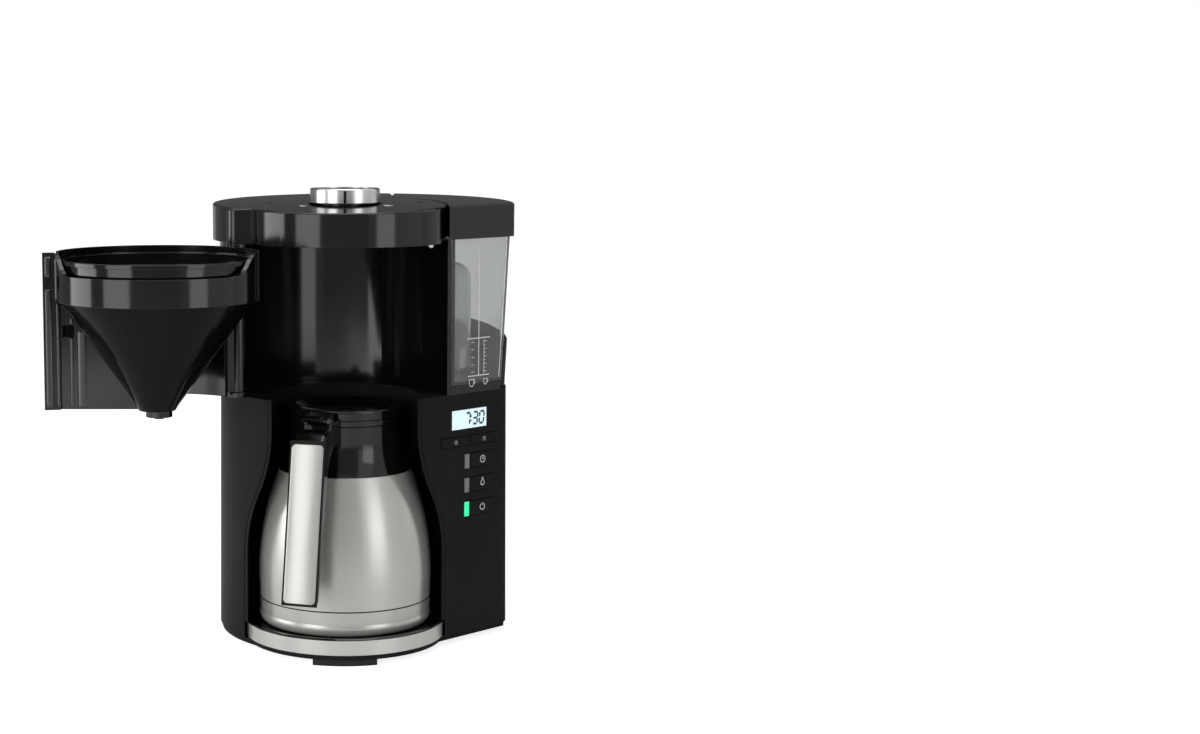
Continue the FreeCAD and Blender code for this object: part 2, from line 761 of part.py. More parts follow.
def make_upper_housing():
    wall_r = CHAMBER_R + CHAMBER_WALL
    column = cyl(BODY_X, BODY_Y, BODY_R_DECK, DECK_Z, HEAD_Z).cut(ahead_of_panel(0, DECK_Z, HEAD_Z))
    column = column.cut(tank_bay(wall_r, TANK_BACK_X, DECK_Z - 1, HEAD_Z + 1))
    void = cyl(BODY_X, BODY_Y, BODY_R_DECK - BODY_WALL, DECK_Z - 1, HEAD_Z + 1)
    void = void.cut(cyl(0, 0, wall_r, DECK_Z - 2, HEAD_Z + 2))
    void = void.common(box(-FAR, TANK_BACK_X - BODY_WALL, 0, FAR, DECK_Z - 1, HEAD_Z + 1))
    column = column.cut(void)
    crest = cyl(BODY_X, BODY_Y, BODY_R_DECK, HEAD_Z, TANK_TOP - SEAT_GAP)
    crest = crest.cut(ahead_of_panel(0, HEAD_Z, TANK_TOP))
    crest = crest.common(box(TANK_BACK_X, FAR, -FAR, FAR, HEAD_Z, TANK_TOP))
    crest = crest.cut(tank_bay(wall_r, TANK_BACK_X, HEAD_Z - 1, TANK_TOP + 1))
    column = fuse([column, crest]).cut(chamber_space(DECK_Z - 1, TANK_TOP + 1))
    duct_turn = math.degrees(DUCT_WIDTH / CHAMBER_R)
    duct_start = DUCT_ANGLE - duct_turn / 2
    duct = ring(CHAMBER_R - DUCT_DEPTH, CHAMBER_R + 1, DECK_Z, HEAD_Z, 0, 0, duct_start, duct_turn)
    column = column.cut(cyl(HINGE_X, HINGE_Y, HINGE_KNUCKLE_R + SWING_GAP, DECK_Z, HEAD_Z))
    lugs = []
    for z0 in (DECK_Z, HEAD_Z - HINGE_LUG_THICK):
        z1 = z0 + HINGE_LUG_THICK
        arm = box(HINGE_X - HINGE_LUG_R, -CHAMBER_R - 0.5, HINGE_Y, HINGE_Y + HINGE_ARM, z0, z1)
        lugs += [cyl(HINGE_X, HINGE_Y, HINGE_LUG_R, z0, z1), arm]
    column = fuse([column, duct, tank_apron()] + lugs)
    return column.cut(cyl(HINGE_X, HINGE_Y, HINGE_PIN_R, DECK_Z - 1, HEAD_Z + 1))


def dome_radius():
    reach = BODY_Y + DOME_BACK + HEAD_R
    return (reach ** 2 + DOME_RISE ** 2) / (2 * DOME_RISE)


def dome():
    """Ball whose cap is the gently domed top of the machine, level with the rim at the front."""
    r = dome_radius()
    return Part.makeSphere(r, V(BODY_X, BODY_Y + DOME_BACK, RIM_Z + DOME_RISE - r))


def eased_top(shape):
    """Round every edge of the domed top face."""
    edges = []
    for face in shape.Faces:
        if isinstance(face.Surface, Part.Sphere):
            edges += [e for e in face.Edges if not e.Degenerated and not e.isSeam(face)]
    return shape.makeFillet(TOP_EDGE, edges)


def dome_height(x, y):
    r = dome_radius()
    away = math.hypot(x - BODY_X, y - BODY_Y - DOME_BACK)
    return RIM_Z + DOME_RISE - r + math.sqrt(r * r - away * away)


def knob_floor():
    return RIM_Z + KNOB_WELL


def lid_mark(angle):
    """Shallow oval recess in the domed top, beside the knob."""
    turn = math.degrees(MARK_LENGTH / MARK_R)
    start = angle - turn / 2
    z0 = dome_height(*polar(MARK_R, angle)) - MARK_DEPTH
    half = MARK_WIDTH / 2
    ends = []
    for end in (start, start + turn):
        x, y = polar(MARK_R, end)
        ends.append(cyl(x, y, half, z0, FAR))
    return fuse([ring(MARK_R - half, MARK_R + half, z0, FAR, 0, 0, start, turn)] + ends)


def make_brew_head():
    top = RIM_Z + DOME_RISE
    disc = cyl(0, 0, HEAD_R, HEAD_Z, top)
    rear = cyl(BODY_X, BODY_Y, BODY_R_LID, HEAD_Z, top)
    rear = rear.common(box(-FAR, TANK_BACK_X, HINGE_Y - HINGE_LUG_R, FAR, HEAD_Z, top))
    cap = cyl(HINGE_X, HINGE_Y, HINGE_LUG_R, HEAD_Z, top)
    cap_arm = box(HINGE_X, 0, HINGE_Y - HINGE_LUG_R, HINGE_Y + HINGE_LUG_R, HEAD_Z, top)
    head = eased_top(fuse([disc, rear, cap, cap_arm]).common(dome()))
    cavity_top = RISER_Z + HOSE_R + 1
    cuts = [
        cyl(0, 0, SHOWER_R, HEAD_Z - 1, cavity_top),
        shower_plate(RUN_GAP),
        pipe(list(riser_route()), HOSE_R + SLIDE_GAP),
        cyl(0, 0, KNOB_R + SWING_GAP, knob_floor(), top + 1),
        cyl(0, 0, KNOB_SHAFT_R + RUN_GAP, HEAD_Z, top),
        cyl(HINGE_X, HINGE_Y, HINGE_PIN_R, HEAD_Z - 1, HEAD_Z + HINGE_LUG_THICK)]
    cuts += [lid_mark(MARK_ANGLE), lid_mark(180 - MARK_ANGLE)]
    for cut in cuts:
        head = head.cut(cut)
    return head


def shower_low():
    """The plate hangs out of the head by half the gap above the swinging holder."""
    return HEAD_Z - SWING_GAP / 2


def shower_plate(gap):
    low = shower_low()
    return cyl(0, 0, SHOWER_R + SHOWER_RIM + gap, low, low + SHOWER_SKIN)


def make_shower_head():
    low = shower_low()
    holes = []
    for circle, count in ((SHOWER_R * 0.75, SHOWER_HOLES), (SHOWER_R * 0.4, SHOWER_HOLES // 2)):
        for i in range(count):
            x, y = polar(circle, 360 * i / count)
            holes.append(cyl(x, y, SHOWER_HOLE_R, low - 1, low + SHOWER_SKIN + 1))
    return shower_plate(0).cut(Part.makeCompound(holes))


def catch_place():
    return polar(HOLDER_R - HOLDER_WALL / 2, FREE_EDGE_ANGLE - CATCH_IN)


def make_door_catch():
    x, y = catch_place()
    nose = cyl(x, y, CATCH_R, HEAD_Z - CATCH_DROP, HEAD_Z)
    tip = [edge for edge in nose.Edges if edge.BoundBox.ZMax < HEAD_Z - CATCH_DROP / 2]
    return nose.makeFillet(CATCH_R * 0.8, tip)


def make_hinge_pin():
    return cyl(HINGE_X, HINGE_Y, HINGE_PIN_R, DECK_Z, HEAD_Z + HINGE_LUG_THICK)


# Selector knob
def make_knob_ring():
    z0 = knob_floor() + KNOB_LIFT
    z1 = z0 + KNOB_HEIGHT
    inner = KNOB_R - KNOB_WALL
    e = KNOB_EDGE
    bulge = e * (1 - math.sqrt(0.5))
    return revolve([
        (inner, z0), (KNOB_R - e / 2, z0), (KNOB_R, z0 + e / 2), (KNOB_R, z1 - e),
        (KNOB_R - bulge, z1 - bulge, KNOB_R - e, z1), (inner, z1)])


def make_knob_core():
    z0 = knob_floor() + SEAT_GAP
    low = z0 + KNOB_LIFT - SEAT_GAP
    z1 = low + KNOB_HEIGHT
    r = KNOB_R - KNOB_WALL - RUN_GAP
    dish = z1 - KNOB_DISH
    rim = z1 - KNOB_EDGE / 2
    foot = r - KNOB_FOOT_IN
    bowl = level_arc(0, dish, r - KNOB_EDGE, rim)
    core = revolve([
        (0, z0), (foot, z0), (foot, low), (r, low), (r, rim), (r - KNOB_EDGE, rim), bowl[:2] + (0, dish)])
    return fuse([core, cyl(0, 0, KNOB_SHAFT_R, z0 - KNOB_SHAFT_LENGTH, z0)])


# Swing-out filter holder, drawn closed
HOLDER_LOW = DECK_Z + SWING_GAP
HOLDER_TOP = HEAD_Z - SWING_GAP
HOLDER_BAND_LOW = HOLDER_TOP - HOLDER_RIM_DROP - HOLDER_BAND
HINGE_ANGLE = math.degrees(math.atan2(HINGE_Y, HINGE_X)) % 360
ACROSS_ANGLE = HOLDER_OPEN - 180
SLOT_ANGLE = ACROSS_ANGLE + 90


def opened(shape):
    """Turn a piece of the closed holder about the hinge to its open place."""
    return turned(shape, -HOLDER_OPEN, HINGE_X, HINGE_Y)


def funnel_block(gap):
    """Outer form of the funnel, which narrows to a slot that points to the front when swung open."""
    r = HOLDER_R - HOLDER_WALL - RUN_GAP
    slot_r = CONE_SLOT_R + 2 * SEAT_GAP + FUNNEL_WALL
    return turned(wedge(r + gap, HOLDER_BAND_LOW, CONE_SLOT, slot_r + gap, HOLDER_LOW), SLOT_ANGLE)


def rim_step():
    """Cuts the rim down on the side away from the door, along an S-shaped curve."""
    low = HOLDER_TOP - HOLDER_RIM_DROP
    middle = (RIM_STEP_START + RIM_STEP_END) / 2
    middle_z = (HOLDER_TOP + low) / 2
    upper = level_arc(RIM_STEP_START, HOLDER_TOP, middle, middle_z)
    lower = level_arc(RIM_STEP_END, low, middle, middle_z)
    face = outline([
        (RIM_STEP_START, HOLDER_TOP), upper, lower[:2] + (RIM_STEP_END, low), (FAR, low), (FAR, FAR),
        (RIM_STEP_START, FAR)])
    step = moved(face.extrude(V(0, 2 * FAR, 0)), 0, -FAR)
    return turned(step, ACROSS_ANGLE + 90)


def holder_wing():
    """Flat wall from the free edge of the door to the funnel, with a square window."""
    inner = HOLDER_R - HOLDER_WALL
    wing = box(0, HOLDER_R, WING_PLACE, WING_PLACE + HOLDER_WALL, HOLDER_LOW, HOLDER_BAND_LOW)
    wing = wing.common(cyl(0, 0, inner + HOLDER_WALL / 2, HOLDER_LOW, HOLDER_BAND_LOW))
    half = WING_WINDOW / 2
    edge = inner - HOLDER_WALL
    wing = wing.cut(box(edge - WING_WINDOW, edge, 0, HOLDER_R, WING_WINDOW_Z - half, WING_WINDOW_Z + half))
    return turned(wing, ACROSS_ANGLE).cut(funnel_block(RUN_GAP))


def make_holder_shell():
    inner = HOLDER_R - HOLDER_WALL
    rim = ring(inner, HOLDER_R, HOLDER_BAND_LOW, HOLDER_TOP).cut(rim_step())
    panel = ring(inner, HOLDER_R, HOLDER_LOW, HOLDER_TOP, 0, 0, HINGE_ANGLE, FREE_EDGE_ANGLE - HINGE_ANGLE)
    strip_turn = math.degrees(HOLDER_WALL / HOLDER_R)
    strip = ring(inner, HOLDER_R + STRIP_WIDTH, HOLDER_LOW, HOLDER_TOP, 0, 0,
                 FREE_EDGE_ANGLE - strip_turn, strip_turn)
    knuckle_low = DECK_Z + HINGE_LUG_THICK + SEAT_GAP
    knuckle_top = HEAD_Z - HINGE_LUG_THICK - SEAT_GAP
    knuckle = cyl(HINGE_X, HINGE_Y, HINGE_KNUCKLE_R, knuckle_low, knuckle_top)
    arm_half = HOLDER_WALL
    arm = box(HINGE_X, -inner / 2, HINGE_Y - arm_half, HINGE_Y + arm_half, knuckle_low, knuckle_top)
    arm = arm.cut(cyl(0, 0, inner, knuckle_low - 1, knuckle_top + 1))
    shell = fuse([rim, panel, strip, knuckle, arm, holder_wing()])
    shell = shell.cut(cyl(HINGE_X, HINGE_Y, HINGE_PIN_R + RUN_GAP, DECK_Z, HEAD_Z))
    catch_x, catch_y = catch_place()
    reach = math.hypot(catch_x - HINGE_X, catch_y - HINGE_Y)
    groove = CATCH_R + SWING_GAP - RUN_GAP
    groove_low = HOLDER_TOP - 2 * SWING_GAP
    shell = shell.cut(ring(reach - groove, reach + groove, groove_low, HEAD_Z, HINGE_X, HINGE_Y))
    grip_turn = math.degrees(GRIP_WIDTH / HOLDER_R)
    grip = ring(HOLDER_R - GRIP_DEPTH, HOLDER_R + 1, HOLDER_LOW - 1, HOLDER_LOW + GRIP_HEIGHT, 0, 0,
                FREE_EDGE_ANGLE - 2 * strip_turn - grip_turn, grip_turn)
    pocket_turn = math.degrees(STRIP_POCKET_DEPTH / HOLDER_R)
    half = WING_WINDOW / 2
    pocket_r = inner + 1
    pocket = ring(pocket_r, pocket_r + STRIP_WIDTH * 0.8, STRIP_POCKET_Z - half, STRIP_POCKET_Z + half, 0, 0,
                  FREE_EDGE_ANGLE - pocket_turn, 2 * pocket_turn)
    return opened(shell.cut(grip).cut(pocket))


def make_holder_funnel():
    r = HOLDER_R - HOLDER_WALL - RUN_GAP
    z1 = HOLDER_BAND_LOW
    floor = HOLDER_LOW + FUNNEL_FLOOR
    inner = wedge(r - FUNNEL_WALL, z1, CONE_SLOT, CONE_SLOT_R + 2 * SEAT_GAP, floor)
    collar = ring(r - FUNNEL_WALL, r, z1, z1 + HOLDER_BAND / 2)
    funnel = fuse([funnel_block(0).cut(turned(inner, SLOT_ANGLE)), collar])
    return opened(funnel.cut(cyl(0, 0, NOZZLE_R + 2 * SEAT_GAP, HOLDER_LOW - 1, floor + 1)))


# Lift-out filter cone and its drip stop
CONE_BOTTOM = HOLDER_LOW + FUNNEL_FLOOR + SEAT_GAP
CONE_TOP = HOLDER_TOP - CONE_RIM_DROP
NOZZLE_LOW = CONE_BOTTOM - NOZZLE_LENGTH


def make_filter_cone():
    z1 = CONE_TOP - CONE_BAND
    floor = CONE_BOTTOM + CONE_WALL
    outer = turned(wedge(CONE_R, z1, CONE_SLOT, CONE_SLOT_R, CONE_BOTTOM), SLOT_ANGLE)
    inner = turned(wedge(CONE_R - CONE_WALL, z1, CONE_SLOT, CONE_SLOT_R - CONE_WALL, floor), SLOT_ANGLE)
    band = ring(CONE_R - CONE_WALL, CONE_R, z1, CONE_TOP)
    lip = ring(CONE_R - CONE_WALL, CONE_R + CONE_LIP, CONE_TOP - CONE_LIP_THICK, CONE_TOP)
    nozzle = cyl(0, 0, NOZZLE_R, NOZZLE_LOW, floor)
    body = fuse([outer.cut(inner), band, lip, nozzle])
    body = body.cut(cyl(0, 0, NOZZLE_R - NOZZLE_WALL, NOZZLE_LOW + NOZZLE_WALL, floor))
    body = body.cut(cyl(0, 0, DRIP_R + RUN_GAP, NOZZLE_LOW - 1, floor))
    bridge = box(-NOZZLE_R, NOZZLE_R, -1.5, 1.5, floor - 1, floor + 1)
    guide = cyl(0, 0, DRIP_R, floor - 1, floor + 1)
    return opened(fuse([body, bridge, guide]))


def make_drip_plunger():
    head = NOZZLE_LOW + NOZZLE_WALL + SEAT_GAP
    stem = cyl(0, 0, DRIP_R, NOZZLE_LOW - DRIP_TRAVEL / 2, head)
    return opened(fuse([stem, cyl(0, 0, DRIP_HEAD_R, head, head + 1.5)]))


def make_drip_spring():
    """Sleeve with the outer and inner size of the coil spring above the plunger."""
    z0 = NOZZLE_LOW + NOZZLE_WALL + SEAT_GAP + 1.5
    z1 = CONE_BOTTOM + CONE_WALL - 1
    return opened(ring(DRIP_R - 1, DRIP_R - 1 + 2 * DRIP_WIRE_R, z0, z1))


# Water tank
TANK_LOW = DECK_Z + TANK_LIFT_GAP
TANK_HINGE_R = TANK_R_TOP + TANK_HINGE_OUT
TANK_HINGE_Z = TANK_TOP + 2 * TANK_PIN_R + SEAT_GAP


def tank_cone(inset, z0, z1):
    share = (TANK_R_TOP - TANK_R_BOTTOM) / (TANK_TOP - TANK_LOW)
    r0 = TANK_R_BOTTOM + share * (z0 - TANK_LOW) - inset
    r1 = TANK_R_BOTTOM + share * (z1 - TANK_LOW) - inset
    return cone(BODY_X, BODY_Y, r0, r1, z0, z1)


def tank_block(inset, z0, z1):
    bay = tank_bay(TANK_INNER_R + inset, TANK_BACK_X + SLIDE_GAP + inset, z0, z1)
    bay = bay.cut(ahead_of_panel(inset, z0, z1))
    block = tank_cone(inset, z0, z1).common(bay)
    return round_corner(block, inset) if z1 - z0 > CORNER_R else block


def tank_hinge_place(shape):
    """From a frame with the hinge line along Y at X0, radially out along +X, to the rear right."""
    copy = shape.copy()
    copy.translate(V(TANK_HINGE_R, 0, TANK_HINGE_Z))
    copy.rotate(V(0, 0, 0), V(0, 0, 1), TANK_HINGE_ANGLE)
    copy.translate(V(BODY_X, BODY_Y, 0))
    return copy


def hinge_rod(r, y0, y1):
    return tank_hinge_place(Part.makeCylinder(r, y1 - y0, V(0, y0, 0), V(0, 1, 0)))


def make_water_tank():
    tank = tank_block(0, TANK_LOW, TANK_TOP).cut(tank_block(TANK_WALL, TANK_LOW + TANK_WALL, TANK_TOP + 1))
    ears = []
    inside = TANK_KNUCKLE / 2 + TANK_EAR_GAP
    for y in (-inside - TANK_EAR, inside):
        ears.append(hinge_rod(2 * TANK_PIN_R, y, y + TANK_EAR))
        web = box(-TANK_EAR, 1, y, y + TANK_EAR, -2 * TANK_PIN_R - TANK_EAR, -TANK_PIN_R)
        ears.append(tank_hinge_place(web))
    tank = fuse([tank] + ears)
    tank = tank.cut(hinge_rod(TANK_PIN_R, -TANK_NOTCH, TANK_NOTCH))
    valve_bore_r = TANK_VALVE_R + RUN_GAP
    return tank.cut(cyl(TANK_VALVE_X, TANK_VALVE_Y, valve_bore_r, TANK_LOW - 1, TANK_LOW + TANK_WALL + 1))


def make_tank_lid():
    z0 = TANK_TOP + SEAT_GAP
    top = RIM_Z + DOME_RISE
    edge = HEAD_R + TANK_SEAM
    back_x = TANK_BACK_X + TANK_SEAM
    lid = cyl(BODY_X, BODY_Y, BODY_R_LID, z0, top).common(tank_bay(edge, back_x, z0, top)).common(dome())
    lid = lid.cut(ahead_of_panel(-TANK_LID_PROUD, z0, top))
    lid = eased_top(round_corner(lid, -TANK_LID_PROUD))
    skin = TANK_LID_SKIN
    hollow = cyl(BODY_X, BODY_Y, BODY_R_LID - skin, z0 - 1, RIM_Z - skin)
    hollow = hollow.common(tank_bay(edge + skin, back_x + skin, z0 - 1, RIM_Z - skin))
    hollow = hollow.cut(ahead_of_panel(skin - TANK_LID_PROUD, z0, RIM_Z))
    lid = lid.cut(hollow)
    half = TANK_NOTCH / 2
    reach = 4 * TANK_PIN_R
    lid = lid.cut(tank_hinge_place(box(-reach, BODY_WALL + reach, -half, half, -FAR, reach - 1)))
    half = TANK_KNUCKLE / 2
    knuckle = hinge_rod(2 * TANK_PIN_R, -half, half)
    web = tank_hinge_place(box(-1, TANK_PIN_R, -half, half, 0, reach))
    lid = fuse([lid, knuckle, web])
    return lid.cut(hinge_rod(TANK_PIN_R + RUN_GAP, -TANK_NOTCH, TANK_NOTCH))


def make_tank_hinge_pin():
    half = TANK_KNUCKLE / 2 + TANK_EAR_GAP + TANK_EAR
    return hinge_rod(TANK_PIN_R, -half, half)


def make_tank_valve():
    floor = TANK_LOW + TANK_WALL
    stem = cyl(TANK_VALVE_X, TANK_VALVE_Y, TANK_VALVE_R, TANK_LOW - TANK_VALVE_DROP, floor + SEAT_GAP)
    rim = TANK_VALVE_R + TANK_VALVE_RIM
    disc = cyl(TANK_VALVE_X, TANK_VALVE_Y, rim, floor + SEAT_GAP, floor + TANK_VALVE_RIM)
    return fuse([stem, disc])


def make_tank_socket():
    """Dock plate under the tank, with a bore that takes the valve and feeds the hose."""
    z1 = TANK_LOW - SEAT_GAP
    plate = tank_block(0, DECK_Z, z1)
    plate = plate.cut(cyl(TANK_VALVE_X, TANK_VALVE_Y, SOCKET_BORE_R, DECK_Z + SOCKET_FLOOR, z1 + 1))
    return plate.cut(cyl(TANK_VALVE_X, TANK_VALVE_Y, HOSE_BORE_R, DECK_Z - 1, z1))


def make_socket_seal():
    r = SOCKET_BORE_R - RUN_GAP
    return ring(TANK_VALVE_R + 1, r, DECK_Z + SOCKET_FLOOR, TANK_LOW - 1, TANK_VALVE_X, TANK_VALVE_Y)


# Thermal carafe
CARAFE_LOW = PLATE_TOP + SEAT_GAP
LID_LOW = COLLAR_TOP_Z + SEAT_GAP
LID_TOP = LID_LOW + LID_HEIGHT


def shoulder(offset):
    """Arc of the steel shell from the belly to the neck, drawn in by offset."""
    return upright_arc(CARAFE_R - offset, CARAFE_BELLY_Z, CARAFE_R_NECK - offset, CARAFE_NECK_Z)


def shoulder_back(offset):
    middle_r, middle_z, neck, neck_z = shoulder(offset)
    return (middle_r, middle_z, CARAFE_R - offset, CARAFE_BELLY_Z)


def make_carafe_body():
    w = CARAFE_WALL
    return revolve([
        (CARAFE_R_SEAM - SEAM_GROOVE, CARAFE_SEAM_Z), (CARAFE_R_SEAM, CARAFE_SEAM_Z + SEAM_GROOVE),
        (CARAFE_R, CARAFE_BELLY_Z), shoulder(0),
        (CARAFE_R_NECK - w, CARAFE_NECK_Z), shoulder_back(w), (CARAFE_R_SEAM - w, CARAFE_SEAM_Z)])


def make_carafe_base():
    r = CARAFE_R_SEAM
    z0 = CARAFE_LOW
    w = 2 * CARAFE_WALL
    foot = r - BASE_FOOT_IN
    inside = foot - BASE_FOOT_WIDTH
    bend = level_arc(foot, z0, r - SEAM_GROOVE, z0 + BASE_BEND)
    return revolve([
        (0, z0 + BASE_RECESS), (inside - BASE_RECESS, z0 + BASE_RECESS), (inside, z0), (foot, z0), bend,
        (r, CARAFE_SEAM_Z - SEAM_GROOVE), (r - SEAM_GROOVE, CARAFE_SEAM_Z), (r - w, CARAFE_SEAM_Z),
        (r - w, z0 + BASE_BEND), (foot - 1, base_floor()), (0, base_floor())])


def base_floor():
    return CARAFE_LOW + 2 * BASE_RECESS


def collar_arc(offset):
    """Hollow curve from the neck of the steel shell up to the waist of the collar."""
    rise = COLLAR_WAIST_Z - CARAFE_NECK_Z
    middle = COLLAR_R_WAIST + 0.28 * (CARAFE_R_NECK - COLLAR_R_WAIST) - offset
    return (middle, CARAFE_NECK_Z + 0.45 * rise, COLLAR_R_WAIST - offset, COLLAR_WAIST_Z)


def collar_arc_back(offset):
    middle_r, middle_z, waist, waist_z = collar_arc(offset)
    return (middle_r, middle_z, CARAFE_R_NECK - offset, CARAFE_NECK_Z)


def make_carafe_flask():
    w = CARAFE_WALL
    g = FLASK_GAP
    neck = COLLAR_R_WAIST - g
    flange = COLLAR_R_WAIST - COLLAR_WALL - RUN_GAP
    floor = CARAFE_R_SEAM - FLASK_FLOOR_IN
    z0 = base_floor() + SEAT_GAP
    top = COLLAR_TOP_Z - SEAT_GAP
    inner_arc = level_arc(floor, z0 + w, CARAFE_R_SEAM - g - w, CARAFE_SEAM_Z)
    return revolve([
        (0, z0), (floor, z0), level_arc(floor, z0, CARAFE_R_SEAM - g, CARAFE_SEAM_Z),
        (CARAFE_R - g, CARAFE_BELLY_Z), shoulder(g), collar_arc(g), (neck, top - w), (flange, top - w),
        (flange, top), (neck - w, top), (neck - w, COLLAR_WAIST_Z), collar_arc_back(g + w),
        shoulder_back(g + w), (CARAFE_R_SEAM - g - w, CARAFE_SEAM_Z),
        inner_arc[:2] + (floor, z0 + w), (0, z0 + w)])


def make_carafe_collar():
    w = COLLAR_WALL
    waist = COLLAR_R_WAIST
    return revolve([
        (CARAFE_R_NECK, CARAFE_NECK_Z), collar_arc(0), (waist, COLLAR_TOP_Z - COLLAR_RIM - 1),
        (waist + 1, COLLAR_TOP_Z - COLLAR_RIM), (waist + 1, COLLAR_TOP_Z), (waist - w, COLLAR_TOP_Z),
        (waist - w, COLLAR_WAIST_Z), collar_arc_back(w)])


def make_carafe_lid():
    r = COLLAR_R_WAIST
    plug = plug_r()
    z2 = LID_TOP
    dish = z2 - LID_DISH
    plug_low = LID_LOW - LID_PLUG_DEPTH
    e = LID_EDGE
    bulge = e * (1 - math.sqrt(0.5))
    lid = revolve([
        (0, plug_low), (plug - e, plug_low), (plug, plug_low + e), (plug, LID_LOW), (r, LID_LOW), (r, z2 - e),
        (r - bulge, z2 - bulge, r - e, z2), (r - LID_RIM, z2), (r - 2 * LID_RIM, dish), (0, dish)])
    lid = lid.cut(cyl(0, 0, LID_HOLE_R, plug_low - 1, z2))
    return lid.cut(seal_groove(0.0))


def plug_r():
    return COLLAR_R_WAIST - FLASK_GAP - CARAFE_WALL - PLUG_GAP


def seal_groove(gap):
    plug = plug_r()
    z = LID_LOW - LID_PLUG_DEPTH / 2
    half = SEAL_SIZE / 2 - gap
    return ring(plug - half, plug + SEAL_SIZE / 4 - gap, z - half, z + half)


def make_lid_seal():
    return seal_groove(RUN_GAP)


def handle_place(shape):
    return turned(shape, HANDLE_ANGLE)


def handle_slab(points, width, edge):
    """Outline drawn in the handle's upright middle plane, given a width and rounded sides."""
    slab = moved(outline(points).extrude(V(0, width, 0)), 0, -width / 2)
    return slab.makeFillet(edge, [e for e in slab.Edges if e.BoundBox.YLength < RUN_GAP])


LEVER_PIN_REACH = COLLAR_R_WAIST + LEVER_PIN_OUT
LEVER_PIN_Z = COLLAR_TOP_Z + LEVER_PIN_RISE
LEVER_LOW = LEVER_PIN_Z + 1


def make_handle_core():
    top = HANDLE_REACH_TOP - STRIP_THICK
    bottom = HANDLE_REACH_BOTTOM - STRIP_THICK
    root = COLLAR_R_WAIST - 2
    neck = COLLAR_R_WAIST + HANDLE_NECK_OUT
    neck_low = COLLAR_TOP_Z - HANDLE_NECK_LOW
    palm = top - HANDLE_CORE
    palm_z = HANDLE_TOP_Z - HANDLE_PALM_DROP
    half = LEVER_EAR / 2
    block = handle_slab([
        (root, neck_low), (neck, neck_low + HANDLE_NECK_OUT / 2),
        (palm - HANDLE_PALM_EDGE / 2, palm_z + HANDLE_PALM_EDGE), (palm, palm_z),
        (bottom - HANDLE_CORE, HANDLE_BOTTOM_Z), (bottom, HANDLE_BOTTOM_Z), (top, HANDLE_TOP_Z),
        (top - half, HANDLE_TOP_Z + half), (LEVER_PIN_REACH + 1.5 * half, LEVER_PIN_Z - 1.5 * half),
        (LEVER_PIN_REACH + half, LEVER_PIN_Z - 1), (root, LEVER_PIN_Z - 1)],
        HANDLE_WIDTH - 2 * HANDLE_INSET, HANDLE_EDGE)
    block = block.cut(cyl(0, 0, COLLAR_R_WAIST + 1 + RUN_GAP, COLLAR_WAIST_Z - HANDLE_NECK_OUT, LID_TOP))
    slot = LEVER_WIDTH / 2 + SLIDE_GAP
    for y in (-slot - LEVER_EAR_THICK, slot):
        ear = box(LEVER_PIN_REACH - half, LEVER_PIN_REACH + half, y, y + LEVER_EAR_THICK,
                  LEVER_PIN_Z - half, LEVER_PIN_Z + half)
        block = fuse([block, ear])
    gap = half + SLIDE_GAP
    block = block.cut(box(LEVER_PIN_REACH - gap, LEVER_PIN_REACH + gap, -slot, slot,
                          LEVER_PIN_Z - half, LEVER_PIN_Z + gap))
    return handle_place(block.cut(lever_rod(LEVER_PIN_R, HANDLE_WIDTH)))


def lever_rod(r, length):
    return Part.makeCylinder(r, length, V(LEVER_PIN_REACH, -length / 2, LEVER_PIN_Z), V(0, 1, 0))


def make_handle_strip():
    top = HANDLE_REACH_TOP
    bottom = HANDLE_REACH_BOTTOM
    t = STRIP_THICK - RUN_GAP
    strip = handle_slab([
        (bottom - t, HANDLE_BOTTOM_Z), (bottom, HANDLE_BOTTOM_Z),
        (top, HANDLE_TOP_Z), (top - t, HANDLE_TOP_Z)], HANDLE_WIDTH, t / 4)
    return handle_place(strip)


def make_lever_pin():
    return handle_place(lever_rod(LEVER_PIN_R, LEVER_WIDTH + 2 * LEVER_EAR_THICK))


def make_lid_lever():
    nose = COLLAR_R_WAIST + LEVER_NOSE_GAP
    tail = LEVER_PIN_REACH + LEVER_TAIL
    t = LEVER_THICK
    lever = handle_slab([
        (nose, LEVER_LOW), (tail - t / 2, LEVER_LOW), (tail, LEVER_LOW + t / 2), (tail - t, LEVER_LOW + t),
        (nose, LEVER_LOW + 0.7 * t)], LEVER_WIDTH, t / 8)
    lever = fuse([lever, lever_rod(1.8 * LEVER_PIN_R, LEVER_WIDTH)])
    return handle_place(lever.cut(lever_rod(LEVER_PIN_R + RUN_GAP, HANDLE_WIDTH)))


